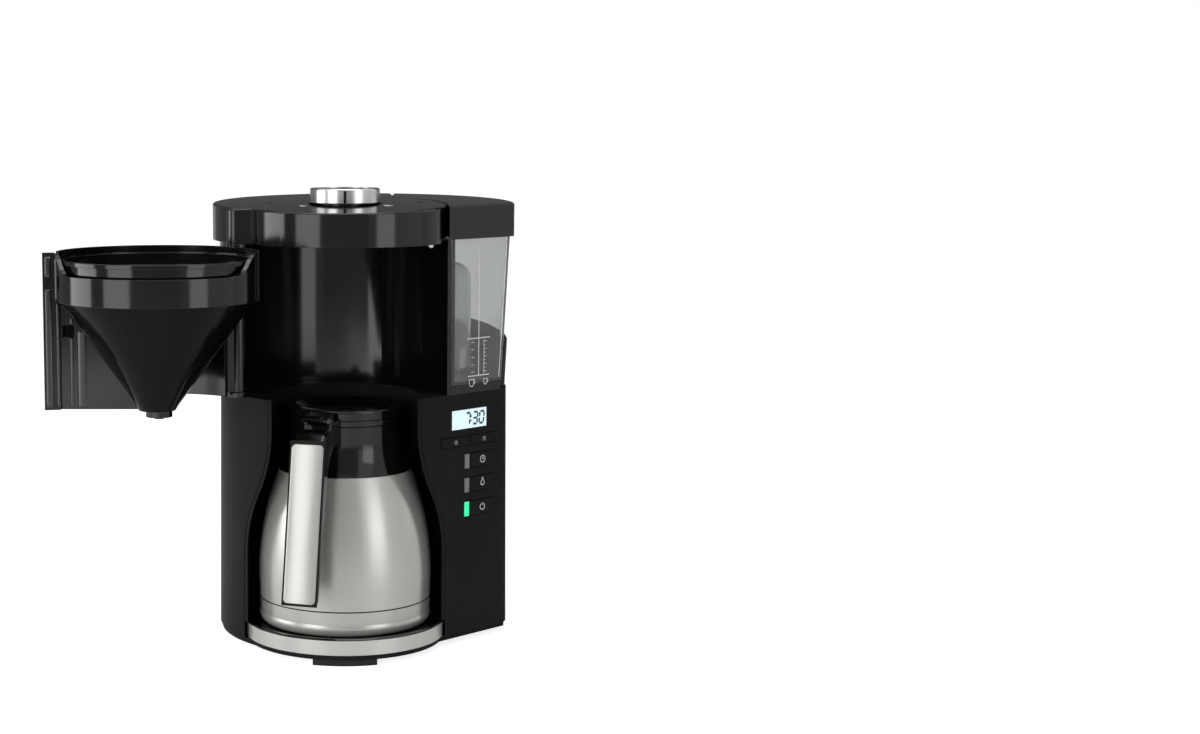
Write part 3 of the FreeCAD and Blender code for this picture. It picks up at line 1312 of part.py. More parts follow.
# All pieces by name
def build_nodes():
    nodes = {
        "base_cover": make_base_cover(),
        "rubber_feet": make_rubber_feet(),
        "lower_housing": make_lower_housing(),
        "niche_liner": make_niche_liner(),
        "carafe_plate": make_carafe_plate(),
        "plate_trim": make_plate_trim(),
        "cord_inlet": make_cord_inlet(),
        "display_window": make_display_window(),
        "display_module": make_display_module(),
        "control_board": make_control_board(),
        "hour_key": make_small_key(-1),
        "minute_key": make_small_key(1),
        "flow_heater": make_flow_heater(),
        "thermal_fuse": make_thermal_fuse(),
        "cold_hose": make_cold_hose(),
        "check_valve": make_check_valve(),
        "riser_tube": make_riser_tube(),
        "upper_housing": make_upper_housing(),
        "brew_head": make_brew_head(),
        "shower_head": make_shower_head(),
        "door_catch": make_door_catch(),
        "hinge_pin": make_hinge_pin(),
        "knob_ring": make_knob_ring(),
        "knob_core": make_knob_core(),
        "holder_shell": make_holder_shell(),
        "holder_funnel": make_holder_funnel(),
        "filter_cone": make_filter_cone(),
        "drip_plunger": make_drip_plunger(),
        "drip_spring": make_drip_spring(),
        "tank_socket": make_tank_socket(),
        "socket_seal": make_socket_seal(),
        "water_tank": make_water_tank(),
        "tank_valve": make_tank_valve(),
        "tank_lid": make_tank_lid(),
        "tank_hinge_pin": make_tank_hinge_pin(),
        "carafe_body": make_carafe_body(),
        "carafe_base": make_carafe_base(),
        "carafe_flask": make_carafe_flask(),
        "carafe_collar": make_carafe_collar(),
        "carafe_lid": make_carafe_lid(),
        "lid_seal": make_lid_seal(),
        "handle_core": make_handle_core(),
        "handle_strip": make_handle_strip(),
        "lever_pin": make_lever_pin(),
        "lid_lever": make_lid_lever(),
    }
    for row, name in enumerate(("timer", "descale", "power")):
        nodes[name + "_key"] = make_key(row)
        nodes[name + "_light"] = make_light(row)
    return nodes


def footprint_middle(nodes):
    whole = FreeCAD.BoundBox()
    for shape in nodes.values():
        whole.add(shape.optimalBoundingBox(False, False))
    return V((whole.XMin + whole.XMax) / 2, (whole.YMin + whole.YMax) / 2, whole.ZMin)


NODES = build_nodes()
ORIGIN = footprint_middle(NODES)
os.makedirs("parts", exist_ok=True)
for name, shape in NODES.items():
    moved(shape, -ORIGIN.x, -ORIGIN.y, -ORIGIN.z).exportStep("parts/" + name + ".step")
print("origin at", ORIGIN, "nodes", len(NODES))
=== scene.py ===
import json
import math

import bmesh
import bpy
from mathutils import Matrix, Vector


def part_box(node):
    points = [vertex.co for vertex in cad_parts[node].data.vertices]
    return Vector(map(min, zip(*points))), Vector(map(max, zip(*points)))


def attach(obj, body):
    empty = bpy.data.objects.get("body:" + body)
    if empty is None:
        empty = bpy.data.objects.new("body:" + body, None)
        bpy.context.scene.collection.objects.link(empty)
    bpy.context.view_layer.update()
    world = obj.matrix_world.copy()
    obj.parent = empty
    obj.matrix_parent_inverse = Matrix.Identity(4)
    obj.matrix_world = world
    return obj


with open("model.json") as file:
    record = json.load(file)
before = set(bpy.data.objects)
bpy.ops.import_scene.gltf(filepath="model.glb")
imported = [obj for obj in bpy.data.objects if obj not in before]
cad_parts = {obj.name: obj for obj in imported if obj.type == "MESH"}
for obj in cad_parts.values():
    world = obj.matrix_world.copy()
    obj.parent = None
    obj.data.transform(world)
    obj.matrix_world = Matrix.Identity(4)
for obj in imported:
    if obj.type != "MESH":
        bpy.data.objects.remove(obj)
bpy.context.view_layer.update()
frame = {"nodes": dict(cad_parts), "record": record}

NODES = frame["nodes"]
MM = 0.001

# The brew axis is the middle of the round carafe stand.
STAND_LOW, STAND_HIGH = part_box("carafe_plate")
AXIS = Vector(((STAND_LOW.x + STAND_HIGH.x) / 2, (STAND_LOW.y + STAND_HIGH.y) / 2, 0))

# Camera, fitted to the photograph's view of 1200 by 734 pixels
IMAGE_WIDTH = 1200
FOCAL_PIXELS = 2000
AXIS_PIXEL_X = 345
SENSOR_WIDTH = 36
CAMERA_BACK = 1.580
CAMERA_HEIGHT = 0.420
CAMERA_PITCH = 7.1


def make_camera():
    data = bpy.data.cameras.new("camera")
    data.sensor_width = SENSOR_WIDTH
    data.lens = SENSOR_WIDTH * FOCAL_PIXELS / IMAGE_WIDTH
    data.shift_x = (IMAGE_WIDTH / 2 - AXIS_PIXEL_X) / IMAGE_WIDTH
    camera = bpy.data.objects.new("camera", data)
    camera.location = AXIS + Vector((0, -CAMERA_BACK, CAMERA_HEIGHT))
    camera.rotation_euler = (math.radians(90 - CAMERA_PITCH), 0, 0)
    bpy.context.scene.collection.objects.link(camera)
    bpy.context.scene.camera = camera


# Materials
class Shader:
    """A material with one Principled shader and short calls to add nodes."""

    def __init__(self, name, **sockets):
        self.material = bpy.data.materials.new(name)
        self.material.use_nodes = True
        self.tree = self.material.node_tree
        self.main = self.tree.nodes["Principled BSDF"]
        for key, value in sockets.items():
            self.main.inputs[key.replace("_", " ")].default_value = value

    def node(self, kind, **settings):
        made = self.tree.nodes.new(kind)
        for key, value in settings.items():
            setattr(made, key, value)
        return made

    def link(self, source, target):
        self.tree.links.new(source, target)

    def noise(self, scale, detail=4.0, stretch=(1, 1, 1)):
        place = self.node("ShaderNodeTexCoord")
        scaled = self.node("ShaderNodeMapping")
        scaled.inputs["Scale"].default_value = stretch
        texture = self.node("ShaderNodeTexNoise")
        texture.inputs["Scale"].default_value = scale
        texture.inputs["Detail"].default_value = detail
        self.link(place.outputs["Object"], scaled.inputs["Vector"])
        self.link(scaled.outputs["Vector"], texture.inputs["Vector"])
        return texture.outputs["Fac"]

    def spread(self, source, low, high, socket):
        """Maps a 0 to 1 texture onto a range and feeds it to a socket of the main shader."""
        ramp = self.node("ShaderNodeMapRange")
        ramp.inputs["To Min"].default_value = low
        ramp.inputs["To Max"].default_value = high
        self.link(source, ramp.inputs["Value"])
        self.link(ramp.outputs["Result"], self.main.inputs[socket])

    def tint(self, source, dark, light):
        ramp = self.node("ShaderNodeValToRGB")
        ramp.color_ramp.elements[0].position = 0.3
        ramp.color_ramp.elements[1].position = 0.7
        ramp.color_ramp.elements[0].color = (*dark, 1)
        ramp.color_ramp.elements[1].color = (*light, 1)
        self.link(source, ramp.inputs["Fac"])
        self.link(ramp.outputs["Color"], self.main.inputs["Base Color"])

    def relief(self, source=None, strength=0.1, distance=0.0001, edge=0.0):
        """Fine bump from a texture, over edges that are softened by a small radius."""
        normal = None
        if edge:
            soft = self.node("ShaderNodeBevel", samples=4)
            soft.inputs["Radius"].default_value = edge
            normal = soft.outputs["Normal"]
        if source:
            bump = self.node("ShaderNodeBump")
            bump.inputs["Strength"].default_value = strength
            bump.inputs["Distance"].default_value = distance
            self.link(source, bump.inputs["Height"])
            if normal:
                self.link(normal, bump.inputs["Normal"])
            normal = bump.outputs["Normal"]
        self.link(normal, self.main.inputs["Normal"])

    def painted_shade_under(self, under, side):
        """Faces that look down shine less, which paints shade on undersides."""
        facing = self.node("ShaderNodeNewGeometry")
        parts = self.node("ShaderNodeSeparateXYZ")
        self.link(facing.outputs["True Normal"], parts.inputs["Vector"])
        ramp = self.node("ShaderNodeMapRange")
        ramp.inputs["From Min"].default_value = -0.5
        ramp.inputs["From Max"].default_value = -0.1
        ramp.inputs["To Min"].default_value = under
        ramp.inputs["To Max"].default_value = side
        self.link(parts.outputs["Z"], ramp.inputs["Value"])
        self.link(ramp.outputs["Result"], self.main.inputs["Specular IOR Level"])

    def turned_grain(self):
        """Lays the grain round the upright axis, so that highlights run up and down."""
        self.main.inputs["Anisotropic Rotation"].default_value = 0.25
        tangent = self.node("ShaderNodeTangent", direction_type="RADIAL", axis="Z")
        self.link(tangent.outputs["Tangent"], self.main.inputs["Tangent"])


SOFT_EDGE = 0.6 * MM


def satin_black():
    shader = Shader("satin_black", Specular_IOR_Level=0.05)
    shader.tint(shader.noise(9, 3), (0.0105, 0.0105, 0.0107), (0.0135, 0.0135, 0.0138))
    grain = shader.noise(2600, 2)
    shader.spread(grain, 0.36, 0.48, "Roughness")
    shader.relief(grain, 0.12, 0.00006, SOFT_EDGE)
    return shader.material


def gloss_black(name, smooth, rough, shine):
    shader = Shader(name)
    shader.tint(shader.noise(14, 3), (0.0028, 0.0028, 0.003), (0.0045, 0.0045, 0.0048))
    shader.spread(shader.noise(40, 2), smooth, rough, "Roughness")
    # Painted shade: gloss faces that look down shine less.
    shader.painted_shade_under(0.09, shine)
    shader.relief(shader.noise(38, 1), 0.03, 0.0002, SOFT_EDGE)
    return shader.material


# Brushing scatters a part of the light evenly.
STEEL_SHINE = 0.55
STEEL_ROUND = (10, 10, 7000)
STEEL_ALONG = (5200, 5200, 20)


def brushed_steel(name, turned, dark, light):
    """Steel brushed round the upright axis where it is turned, and along it otherwise."""
    shader = Shader(name, Metallic=STEEL_SHINE, Anisotropic=0.6)
    streak = shader.noise(1.0, 3, STEEL_ROUND if turned else STEEL_ALONG)
    shader.tint(streak, dark, light)
    shader.spread(streak, 0.28, 0.34, "Roughness")
    shader.relief(edge=SOFT_EDGE / 2)
    if turned:
        shader.turned_grain()
    return shader.material


def chrome():
    shader = Shader("chrome", Metallic=1.0)
    shader.tint(shader.noise(30, 2), (0.62, 0.62, 0.615), (0.69, 0.69, 0.685))
    shader.spread(shader.noise(90, 4), 0.20, 0.30, "Roughness")
    shader.relief(edge=SOFT_EDGE)
    return shader.material


def clear_plastic(name, dark, light, clear):
    shader = Shader(name, Transmission_Weight=clear, IOR=1.18)
    shader.tint(shader.noise(6, 2), dark, light)
    shader.spread(shader.noise(40, 3), 0.02, 0.06, "Roughness")
    return shader.material


def rubber():
    shader = Shader("rubber", Specular_IOR_Level=0.3)
    grain = shader.noise(900, 3)
    shader.tint(grain, (0.010, 0.010, 0.010), (0.018, 0.018, 0.018))
    shader.spread(grain, 0.6, 0.8, "Roughness")
    shader.relief(grain, 0.3, 0.0001)
    return shader.material


def plain(name, dark, light, rough, scale=80):
    shader = Shader(name)
    grain = shader.noise(scale, 3)
    shader.tint(grain, dark, light)
    shader.spread(grain, rough, rough + 0.12, "Roughness")
    return shader.material


def glowing(name, dark, light, strength):
    """Lit translucent plastic."""
    shader = Shader(name, Roughness=0.3, Emission_Strength=strength)
    grain = shader.noise(300, 2)
    shader.tint(grain, dark, light)
    ramp = shader.main.inputs["Base Color"].links[0].from_socket
    shader.link(ramp, shader.main.inputs["Emission Color"])
    return shader.material


FINISHES = {
    "satin_black": satin_black(),
    "gloss_black": gloss_black("gloss_black", 0.08, 0.15, 0.5),
    "edge_black": gloss_black("edge_black", 0.2, 0.28, 1.0),
    "brushed_steel": brushed_steel("brushed_steel", True, (0.50, 0.492, 0.465), (0.54, 0.532, 0.505)),
    "band_steel": brushed_steel("band_steel", True, (0.56, 0.553, 0.53), (0.61, 0.603, 0.58)),
    "strip_steel": brushed_steel("strip_steel", False, (0.42, 0.413, 0.395), (0.46, 0.453, 0.435)),
    "chrome": chrome(),
    "clear_tank": clear_plastic("clear_tank", (0.64, 0.65, 0.65), (0.69, 0.70, 0.70), 0.9),
    "clear_insert": clear_plastic("clear_insert", (0.90, 0.91, 0.91), (0.95, 0.96, 0.96), 0.75),
    "rubber_black": rubber(),
    "lcd_window": glowing("lcd_window", (0.62, 0.82, 0.88), (0.70, 0.88, 0.93), 0.5),
    "lcd_ink": plain("lcd_ink", (0.012, 0.03, 0.045), (0.02, 0.045, 0.06), 0.5),
    "print_white": plain("print_white", (0.62, 0.62, 0.62), (0.72, 0.72, 0.72), 0.5),
    "print_grey": plain("print_grey", (0.30, 0.30, 0.30), (0.40, 0.40, 0.40), 0.5),
    "lcd_back": plain("lcd_back", (0.4, 0.6, 0.7), (0.5, 0.7, 0.8), 0.4),
    "board_green": plain("board_green", (0.03, 0.15, 0.06), (0.05, 0.22, 0.09), 0.4),
    "cast_aluminium": plain("cast_aluminium", (0.45, 0.45, 0.45), (0.6, 0.6, 0.6), 0.4, 400),
    "pin_steel": brushed_steel("pin_steel", False, (0.44, 0.44, 0.43), (0.54, 0.54, 0.53)),
    "hose_white": plain("hose_white", (0.62, 0.62, 0.6), (0.7, 0.7, 0.68), 0.45),
    "light_grey": plain("light_grey", (0.16, 0.165, 0.17), (0.22, 0.225, 0.23), 0.25, 500),
    "light_green": glowing("light_green", (0.03, 0.66, 0.30), (0.05, 0.80, 0.38), 0.7),
}


def paint(obj, finish):
    obj.data.materials.clear()
    obj.data.materials.append(FINISHES[finish])


def paint_nodes():
    for part in frame["record"]["subparts"]:
        paint(NODES[part["node"]], part["material_slot"])
    paint(NODES["handle_strip"], "satin_black")
    paint(NODES["plate_trim"], "band_steel")


# Pieces
def add_piece(name, mesh, finish, rides, matrix=None):
    piece = bpy.data.objects.new(name, mesh)
    if matrix:
        piece.matrix_world = matrix
    bpy.context.scene.collection.objects.link(piece)
    paint(piece, finish)
    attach(piece, rides)
    return piece


def arc(x, y, r, start, end, count=24):
    points = []
    for i in range(count + 1):
        angle = math.radians(start + (end - start) * i / count)
        points.append((x + r * math.cos(angle), y + r * math.sin(angle)))
    return points


# Least cosine at a corner of a path, so that sharp corners don't shoot out
MITRE_LIMIT = 0.4


def side_steps(points, closed):
    """Mitred unit offset at every point of a path."""
    steps = []
    count = len(points)
    for i in range(count):
        here = Vector(points[i])
        before = Vector(points[i - 1]) if closed or i else here
        after = Vector(points[(i + 1) % count]) if closed or i < count - 1 else here
        into = (here - before).normalized() if here != before else (after - here).normalized()
        out = (after - here).normalized() if here != after else into
        along = (into + out).normalized()
        side = Vector((-along.y, along.x))
        steps.append(side / max(MITRE_LIMIT, along.dot(out)))
    return steps


def skin(bm, rows, closed=False):
    """Faces between neighbouring rows of points, and from the last row to the first where it is closed."""
    pairs = list(zip(rows, rows[1:]))
    if closed:
        pairs.append((rows[-1], rows[0]))
    for one, two in pairs:
        for j in range(len(one) - 1):
            bm.faces.new((one[j], two[j], two[j + 1], one[j + 1]))


def cap_ends(bm, rows):
    bm.faces.new(rows[0])
    bm.faces.new(reversed(rows[-1]))


def mesh_from(name, bm, smooth=False):
    """Mesh of what was drawn. Where it is smooth, its end caps stay flat."""
    bmesh.ops.recalc_face_normals(bm, faces=bm.faces)
    for face in bm.faces:
        face.smooth = smooth and len(face.verts) <= 4
    mesh = bpy.data.meshes.new(name)
    bm.to_mesh(mesh)
    bm.free()
    return mesh


def stroke(bm, points, width, thick, closed=False):
    """Raised line of even width along a path, with slanted flanks."""
    rows = []
    for point, step in zip(points, side_steps(points, closed)):
        here = Vector(point)
        row = []
        for side, level in ((-0.5, 0), (-0.4, thick), (0.4, thick), (0.5, 0)):
            place = here + step * width * side
            row.append(bm.verts.new((place.x * MM, place.y * MM, level * MM)))
        rows.append(row)
    skin(bm, rows, closed)
    if not closed:
        cap_ends(bm, rows)


def print_piece(name, strokes, width, finish, rides, matrix, thick=0.12):
    """Printed mark made of raised lines. A stroke is a path, or (path, True) for a closed one."""
    bm = bmesh.new()
    for line in strokes:
        closed = isinstance(line, tuple)
        stroke(bm, line[0] if closed else line, width, thick, closed)
    return add_piece(name, mesh_from(name, bm), finish, rides, matrix)


def lathe(name, profile, finish, rides, place, steps=72, start=0.0, sweep=360.0):
    """Turned form. The profile is (radius, height) in millimetres, and place is its axis at height 0."""
    bm = bmesh.new()
    full = abs(sweep - 360) < 0.01
    count = steps if full else steps + 1
    rows = []
    for i in range(count):
        angle = math.radians(start + sweep * i / steps)
        row = []
        for r, z in profile:
            row.append(bm.verts.new((r * MM * math.cos(angle), r * MM * math.sin(angle), z * MM)))
        rows.append(row)
    skin(bm, rows, full)
    bmesh.ops.remove_doubles(bm, verts=bm.verts, dist=1e-7)
    return add_piece(name, mesh_from(name, bm, True), finish, rides, Matrix.Translation(place))


def first_hit(node, start, end):
    """Point and normal where a line first meets a node, or nothing."""
    obj = NODES[node]
    into = obj.matrix_world.inverted()
    start, end = into @ start, into @ end
    hit, point, normal, face = obj.ray_cast(start, (end - start).normalized())
    if not hit:
        return None
    return obj.matrix_world @ point, (obj.matrix_world.to_3x3() @ normal).normalized()


# Control panel: X along the panel, Y up, Z out of its face
PANEL_ANGLE = 43.0
PANEL_ALONG = Vector((math.cos(math.radians(PANEL_ANGLE)), math.sin(math.radians(PANEL_ANGLE)), 0))
PANEL_OUT = Vector((PANEL_ALONG.y, -PANEL_ALONG.x, 0))
MARK_PROUD = 0.02


def node_middle(node):
    low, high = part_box(node)
    return (low + high) / 2


def front_of(node, offset=MARK_PROUD):
    """Frame on the front face of a block that is square to the panel."""
    low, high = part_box(node)
    width = (high.x - low.x, high.y - low.y)
    c, s = PANEL_ALONG.x, PANEL_ALONG.y
    depth = (width[0] * s - width[1] * c) / (s * s - c * c)
    middle = node_middle(node) + PANEL_OUT * (depth / 2 + offset * MM)
    frame_axes = Matrix((PANEL_ALONG, Vector((0, 0, 1)), PANEL_OUT)).transposed().to_4x4()
    return Matrix.Translation(middle) @ frame_axes


DIGIT_HEIGHT = 9.4
DIGIT_WIDTH = 5.0
DIGIT_GAP = 2.4
DIGIT_LINE = 1.7
DIGIT_SLANT = 0.12
SEGMENT_GAP = 0.6
CLOCK_LEFT = -4.6
COLON_HALF = 1.6
COLON_BACK = 0.45
COLON_DOT = 0.45
COLON_LEAN = 0.05
SEGMENTS = {"7": "abc", "3": "abgcd", "0": "abcdef"}


def digit_strokes(char, x0):
    """Seven-segment digit from its lower left corner."""
    w, h, half = DIGIT_WIDTH, DIGIT_HEIGHT, DIGIT_HEIGHT / 2
    gap = SEGMENT_GAP
    bars = {
        "a": ((gap, h), (w - gap, h)), "b": ((w, h - gap), (w, half + gap)), "c": ((w, half - gap), (w, gap)),
        "d": ((gap, 0), (w - gap, 0)), "e": ((0, half - gap), (0, gap)), "f": ((0, h - gap), (0, half + gap)),
        "g": ((gap, half), (w - gap, half))}
    lines = []
    for key in SEGMENTS[char]:
        lines.append([(x0 + x + DIGIT_SLANT * y, y - half) for x, y in bars[key]])
    return lines


def make_clock():
    lines = []
    x = CLOCK_LEFT
    for place, char in enumerate("730"):
        lines += digit_strokes(char, x)
        x += DIGIT_WIDTH + DIGIT_GAP
        if place == 0:
            for y in (-COLON_HALF, COLON_HALF):
                dot = x - COLON_BACK + DIGIT_SLANT * y
                lines.append([(dot - COLON_LEAN, y - COLON_DOT), (dot + COLON_LEAN, y + COLON_DOT)])
            x += DIGIT_GAP / 2
    print_piece("clock_digits", lines, DIGIT_LINE, "lcd_ink", "base", front_of("display_window"))


def clock_mark(r, hand):
    return [(arc(0, 0, r, 0, 360, 28)[:-1], True), [(0, hand), (0, 0), (0.6 * r, 0)]]


def drop_mark(r):
    tip = [(0, 2.3 * r)]
    round_part = arc(0, 0, r, 25, -205, 24)
    return [(tip + round_part, True)]


def power_mark(r):
    return [arc(0, 0, r, 125, 415, 26), [(0, 0.35 * r), (0, 1.25 * r)]]


def cup_mark(size):
    cup = [(-size, size), (-0.75 * size, -0.6 * size), (-0.35 * size, -size), (0.35 * size, -size),
           (0.75 * size, -0.6 * size), (size, size)]
    handle = arc(size * 0.95, 0.15 * size, 0.5 * size, 80, -80, 10)
    return [(cup, True), handle]


# The rounded edges of a key make its box shallower than the key, so its marks stand further out.
KEY_PROUD = 0.29


# Lines of each mark, their width and their finish
KEY_MARKS = {
    "hour": (clock_mark(1.5, 0.825), 0.45, "print_grey"),
    "minute": (clock_mark(1.5, 1.275), 0.45, "print_grey"),
    "timer": (clock_mark(2.7, 1.9), 0.65, "print_white"),
    "descale": (drop_mark(1.9), 0.65, "print_white"),
    "power": (power_mark(2.6), 0.7, "print_white"),
}


def make_key_marks():
    for name, (lines, width, finish) in KEY_MARKS.items():
        key = name + "_key"
        print_piece(name + "_mark", lines, width, finish, key, front_of(key, KEY_PROUD))


# Water tank: level scale on its flat front and a domed clear column inside
SCALE_ALONG = 10.0
SCALE_LOW = 216.0
SCALE_HIGH = 316.0
SCALE_LINE = 0.9
# Height and half width of the cross lines
LEVELS = ((0.0, 12.0), (30.0, 13.0))
TICK_COUNT = 9
TICK_PITCH = 3.0
TICK_LONG = 3.4
TICK_SHORT = 2.0
TICK_LINE = 0.5
TICK_LINE_LOW = 1.0
TICK_LINE_HIGH = 29.0
TICK_RIGHT = 6.0
TICK_LEFT = 8.5
CUP_SIDE = 8.0
CUP_DROP = 5.5
CUP_LINE = 0.6
PANEL_INSET = 0.4


def tank_front(z):
    """Frame on the flat front of the tank, at the middle of the display and a height."""
    face = front_of("display_window", PANEL_INSET + MARK_PROUD)
    face.translation.z = z * MM
    return face


def make_tank_scale():
    """Upright line with two cross lines that mark the levels."""
    u = SCALE_ALONG
    lines = [[(u, 0), (u, SCALE_HIGH - SCALE_LOW)]]
    for level, half in LEVELS:
        lines.append([(u - half, level), (u + half, level)])
    print_piece("tank_scale_line", lines, SCALE_LINE, "print_white", "tank", tank_front(SCALE_LOW))


def make_tank_ticks():
    """Cup levels between the cross lines, with every second tick longer and repeated on the left."""
    right, left = SCALE_ALONG + TICK_RIGHT, SCALE_ALONG - TICK_LEFT
    ticks = []
    for i in range(TICK_COUNT):
        y = TICK_PITCH * (i + 1)
        long = i % 2 == 0
        ticks.append([(right, y), (right + (TICK_LONG if long else TICK_SHORT), y)])
        if long:
            ticks.append([(left, y), (left + TICK_LONG, y)])
    ticks.append([(right, TICK_LINE_LOW), (right, TICK_LINE_HIGH)])
    print_piece("tank_ticks", ticks, TICK_LINE, "print_white", "tank", tank_front(SCALE_LOW))


def make_cup_marks():
    """Large and small cup under the scale."""
    for name, side, size in (("large_cup_mark", -1, 2.8), ("small_cup_mark", 1, 2.2)):
        aside = Matrix.Translation((MM * (SCALE_ALONG + side * CUP_SIDE), 0, 0))
        place = tank_front(SCALE_LOW - CUP_DROP) @ aside
        print_piece(name, cup_mark(size), CUP_LINE, "print_white", "tank", place)


COLUMN_X = 90.0
COLUMN_Y = 72.0
COLUMN_R = 14.0
COLUMN_TOP = 302.0
COLUMN_WALL = 1.6
COLUMN_FLANGE = 2.0
COLUMN_FILLET = 1.5
TANK_FLOOR = 2.6


def make_tank_column():
    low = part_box("water_tank")[0].z / MM + TANK_FLOOR
    flange = COLUMN_R + COLUMN_FLANGE
    shoulder = COLUMN_TOP - COLUMN_R
    outer = [(r, z + shoulder) for r, z in arc(0, 0, COLUMN_R, 0, 90, 14)]
    inner_r = COLUMN_R - COLUMN_WALL
    inner = [(r, z + shoulder) for r, z in arc(0, 0, inner_r, 90, 0, 14)]
    foot = [(flange, low), (flange, low + COLUMN_FLANGE), (COLUMN_R, low + COLUMN_FLANGE + COLUMN_FILLET)]
    profile = foot + outer + inner + [(inner_r, low), (flange, low)]
    lathe("tank_column", profile, "clear_insert", "tank", AXIS + Vector((COLUMN_X, COLUMN_Y, 0)) * MM, 48)


# Carafe: crowned steel inlay on the front of the handle and the dark seam over the base
HANDLE_ANGLE = 251.5
STRIP_LOW = (110.0, 54.0)
STRIP_HIGH = (88.0, 177.0)
INLAY_WIDTH = 25.4
INLAY_MARGIN_LOW = 1.8
INLAY_MARGIN_HIGH = 2.6
INLAY_CORNER = 3.2
INLAY_CROWN = 1.5
INLAY_EDGE = 0.35
INLAY_BEVEL = 0.3
INLAY_BEVEL_RISE = 0.2
# Share of the width that each row over the crown has, down to the middle line
INLAY_SHARES = (1.0, 0.92, 0.8, 0.66, 0.52, 0.38, 0.24, 0.1, 0.0)


def rounded_outline(width, height, corner):
    points = []
    for sx, sy, start in ((1, 1, 0), (-1, 1, 90), (-1, -1, 180), (1, -1, 270)):
        points += arc(sx * (width / 2 - corner), sy * (height / 2 - corner), corner, start, start + 90, 8)
    return points


def inlay_rows():
    """Inset of the outline, share of its width and level: up the edge, then in steps to the middle line."""
    top = INLAY_EDGE + INLAY_BEVEL_RISE
    rows = [(0, 1, 0), (0, 1, INLAY_EDGE)]
    for share in INLAY_SHARES:
        rows.append((INLAY_BEVEL, share, top))
    return rows


def make_handle_inlay():
    low, high = Vector(STRIP_LOW), Vector(STRIP_HIGH)
    length = (high - low).length
    along = (high - low).normalized()
    middle = (low + high) / 2 + along * (INLAY_MARGIN_LOW - INLAY_MARGIN_HIGH) / 2
    turn = math.radians(HANDLE_ANGLE)
    out = Vector((math.cos(turn), math.sin(turn), 0))
    up_axis = out * along.x + Vector((0, 0, along.y))
    out_axis = out * along.y - Vector((0, 0, along.x))
    side_axis = up_axis.cross(out_axis)
    place = AXIS + (out * middle.x + Vector((0, 0, middle.y))) * MM
    matrix = Matrix.Translation(place) @ Matrix((side_axis, up_axis, out_axis)).transposed().to_4x4()
    height = length - INLAY_MARGIN_LOW - INLAY_MARGIN_HIGH
    bm = bmesh.new()
    rows = []
    for inset, share, level in inlay_rows():
        outline = rounded_outline(INLAY_WIDTH - 2 * inset, height - 2 * inset, INLAY_CORNER - inset)
        row = []
        for x, y in outline + outline[:1]:
            x *= share
            crown = INLAY_CROWN * (1 - (2 * x / INLAY_WIDTH) ** 2) if inset else 0
            row.append(bm.verts.new((x * MM, y * MM, (level + crown) * MM)))
        rows.append(row)
    skin(bm, rows)
    bmesh.ops.remove_doubles(bm, verts=bm.verts, dist=1e-6)
    add_piece("handle_inlay", mesh_from("handle_inlay", bm, True), "strip_steel", "carafe", matrix)


SEAM_WIDTH = 0.8
SEAM_RISE = 0.12
SEAM_EDGE = 0.08
SEAM_ROOT = 0.6


def make_carafe_seam():
    low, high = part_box("carafe_base")
    r = (high.x - low.x) / 2 / MM
    z = high.z / MM
    root, edge, half = r - SEAM_ROOT, r + SEAM_EDGE, SEAM_WIDTH / 2
    profile = [(root, z - half), (edge, z - half), (r + SEAM_RISE, z), (edge, z + half), (root, z + half),
               (root, z - half)]
    lathe("carafe_seam", profile, "rubber_black", "carafe", AXIS, 160)


# Knob, head and filter cone
INDEX_OVER_FOOT = 0.9
INDEX_UNDER_TOP = 1.6
INDEX_HALF = 1.1
INDEX_ROOT = 0.4
INDEX_EDGE = 0.12
INDEX_RISE = 0.18
INDEX_BEVEL = 0.3
FRONT_ANGLE = 270


def make_knob_line():
    """Dark index line up the front of the chrome ring."""
    low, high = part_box("knob_ring")
    r = (high.x - low.x) / 2 / MM
    z0, z1 = low.z / MM + INDEX_OVER_FOOT, high.z / MM - INDEX_UNDER_TOP
    root, edge, face = r - INDEX_ROOT, r + INDEX_EDGE, r + INDEX_RISE
    turn = math.degrees(INDEX_HALF / r)
    profile = [(root, z0), (edge, z0), (face, z0 + INDEX_BEVEL), (face, z1 - INDEX_BEVEL), (edge, z1),
               (root, z1), (root, z0)]
    lathe("knob_index", profile, "gloss_black", "knob", AXIS, 6, FRONT_ANGLE - turn, 2 * turn)


HEAD_MARK_X = 33.0
HEAD_MARK_Y = -20.0
HEAD_MARK_LINE = 0.7
HEAD_MARK_THICK = 0.3


def make_head_marks():
    """Two small cup marks printed on the head, left and right of the knob."""
    for name, x, size in (("mild_mark", -HEAD_MARK_X, 2.0), ("strong_mark", HEAD_MARK_X, 2.6)):
        foot = AXIS + Vector((x, HEAD_MARK_Y, 0)) * MM
        place = Matrix.Translation(first_hit("brew_head", foot + Vector((0, 0, 1)), foot)[0])
        print_piece(name, cup_mark(size), HEAD_MARK_LINE, "print_white", "base", place, HEAD_MARK_THICK)


CONE_RIBS = 16
RIB_LENGTH = 26.0
RIB_WIDTH = 1.6
RIB_RISE = 1.3
RIB_ROOT = 0.8
RIB_STEPS = 6
RIB_FROM_RIM = 4.6
RIB_LEAST = 0.1
# Part of a half wave that the rise follows down a rib
RIB_WAVE_START = 0.12
RIB_WAVE_LENGTH = 0.9
RIB_UNDER_RIM = 12.0
# The wall leans more across the cone's slot than along it.
RIB_SLOPE = 0.525
RIB_SLOPE_CHANGE = 0.075


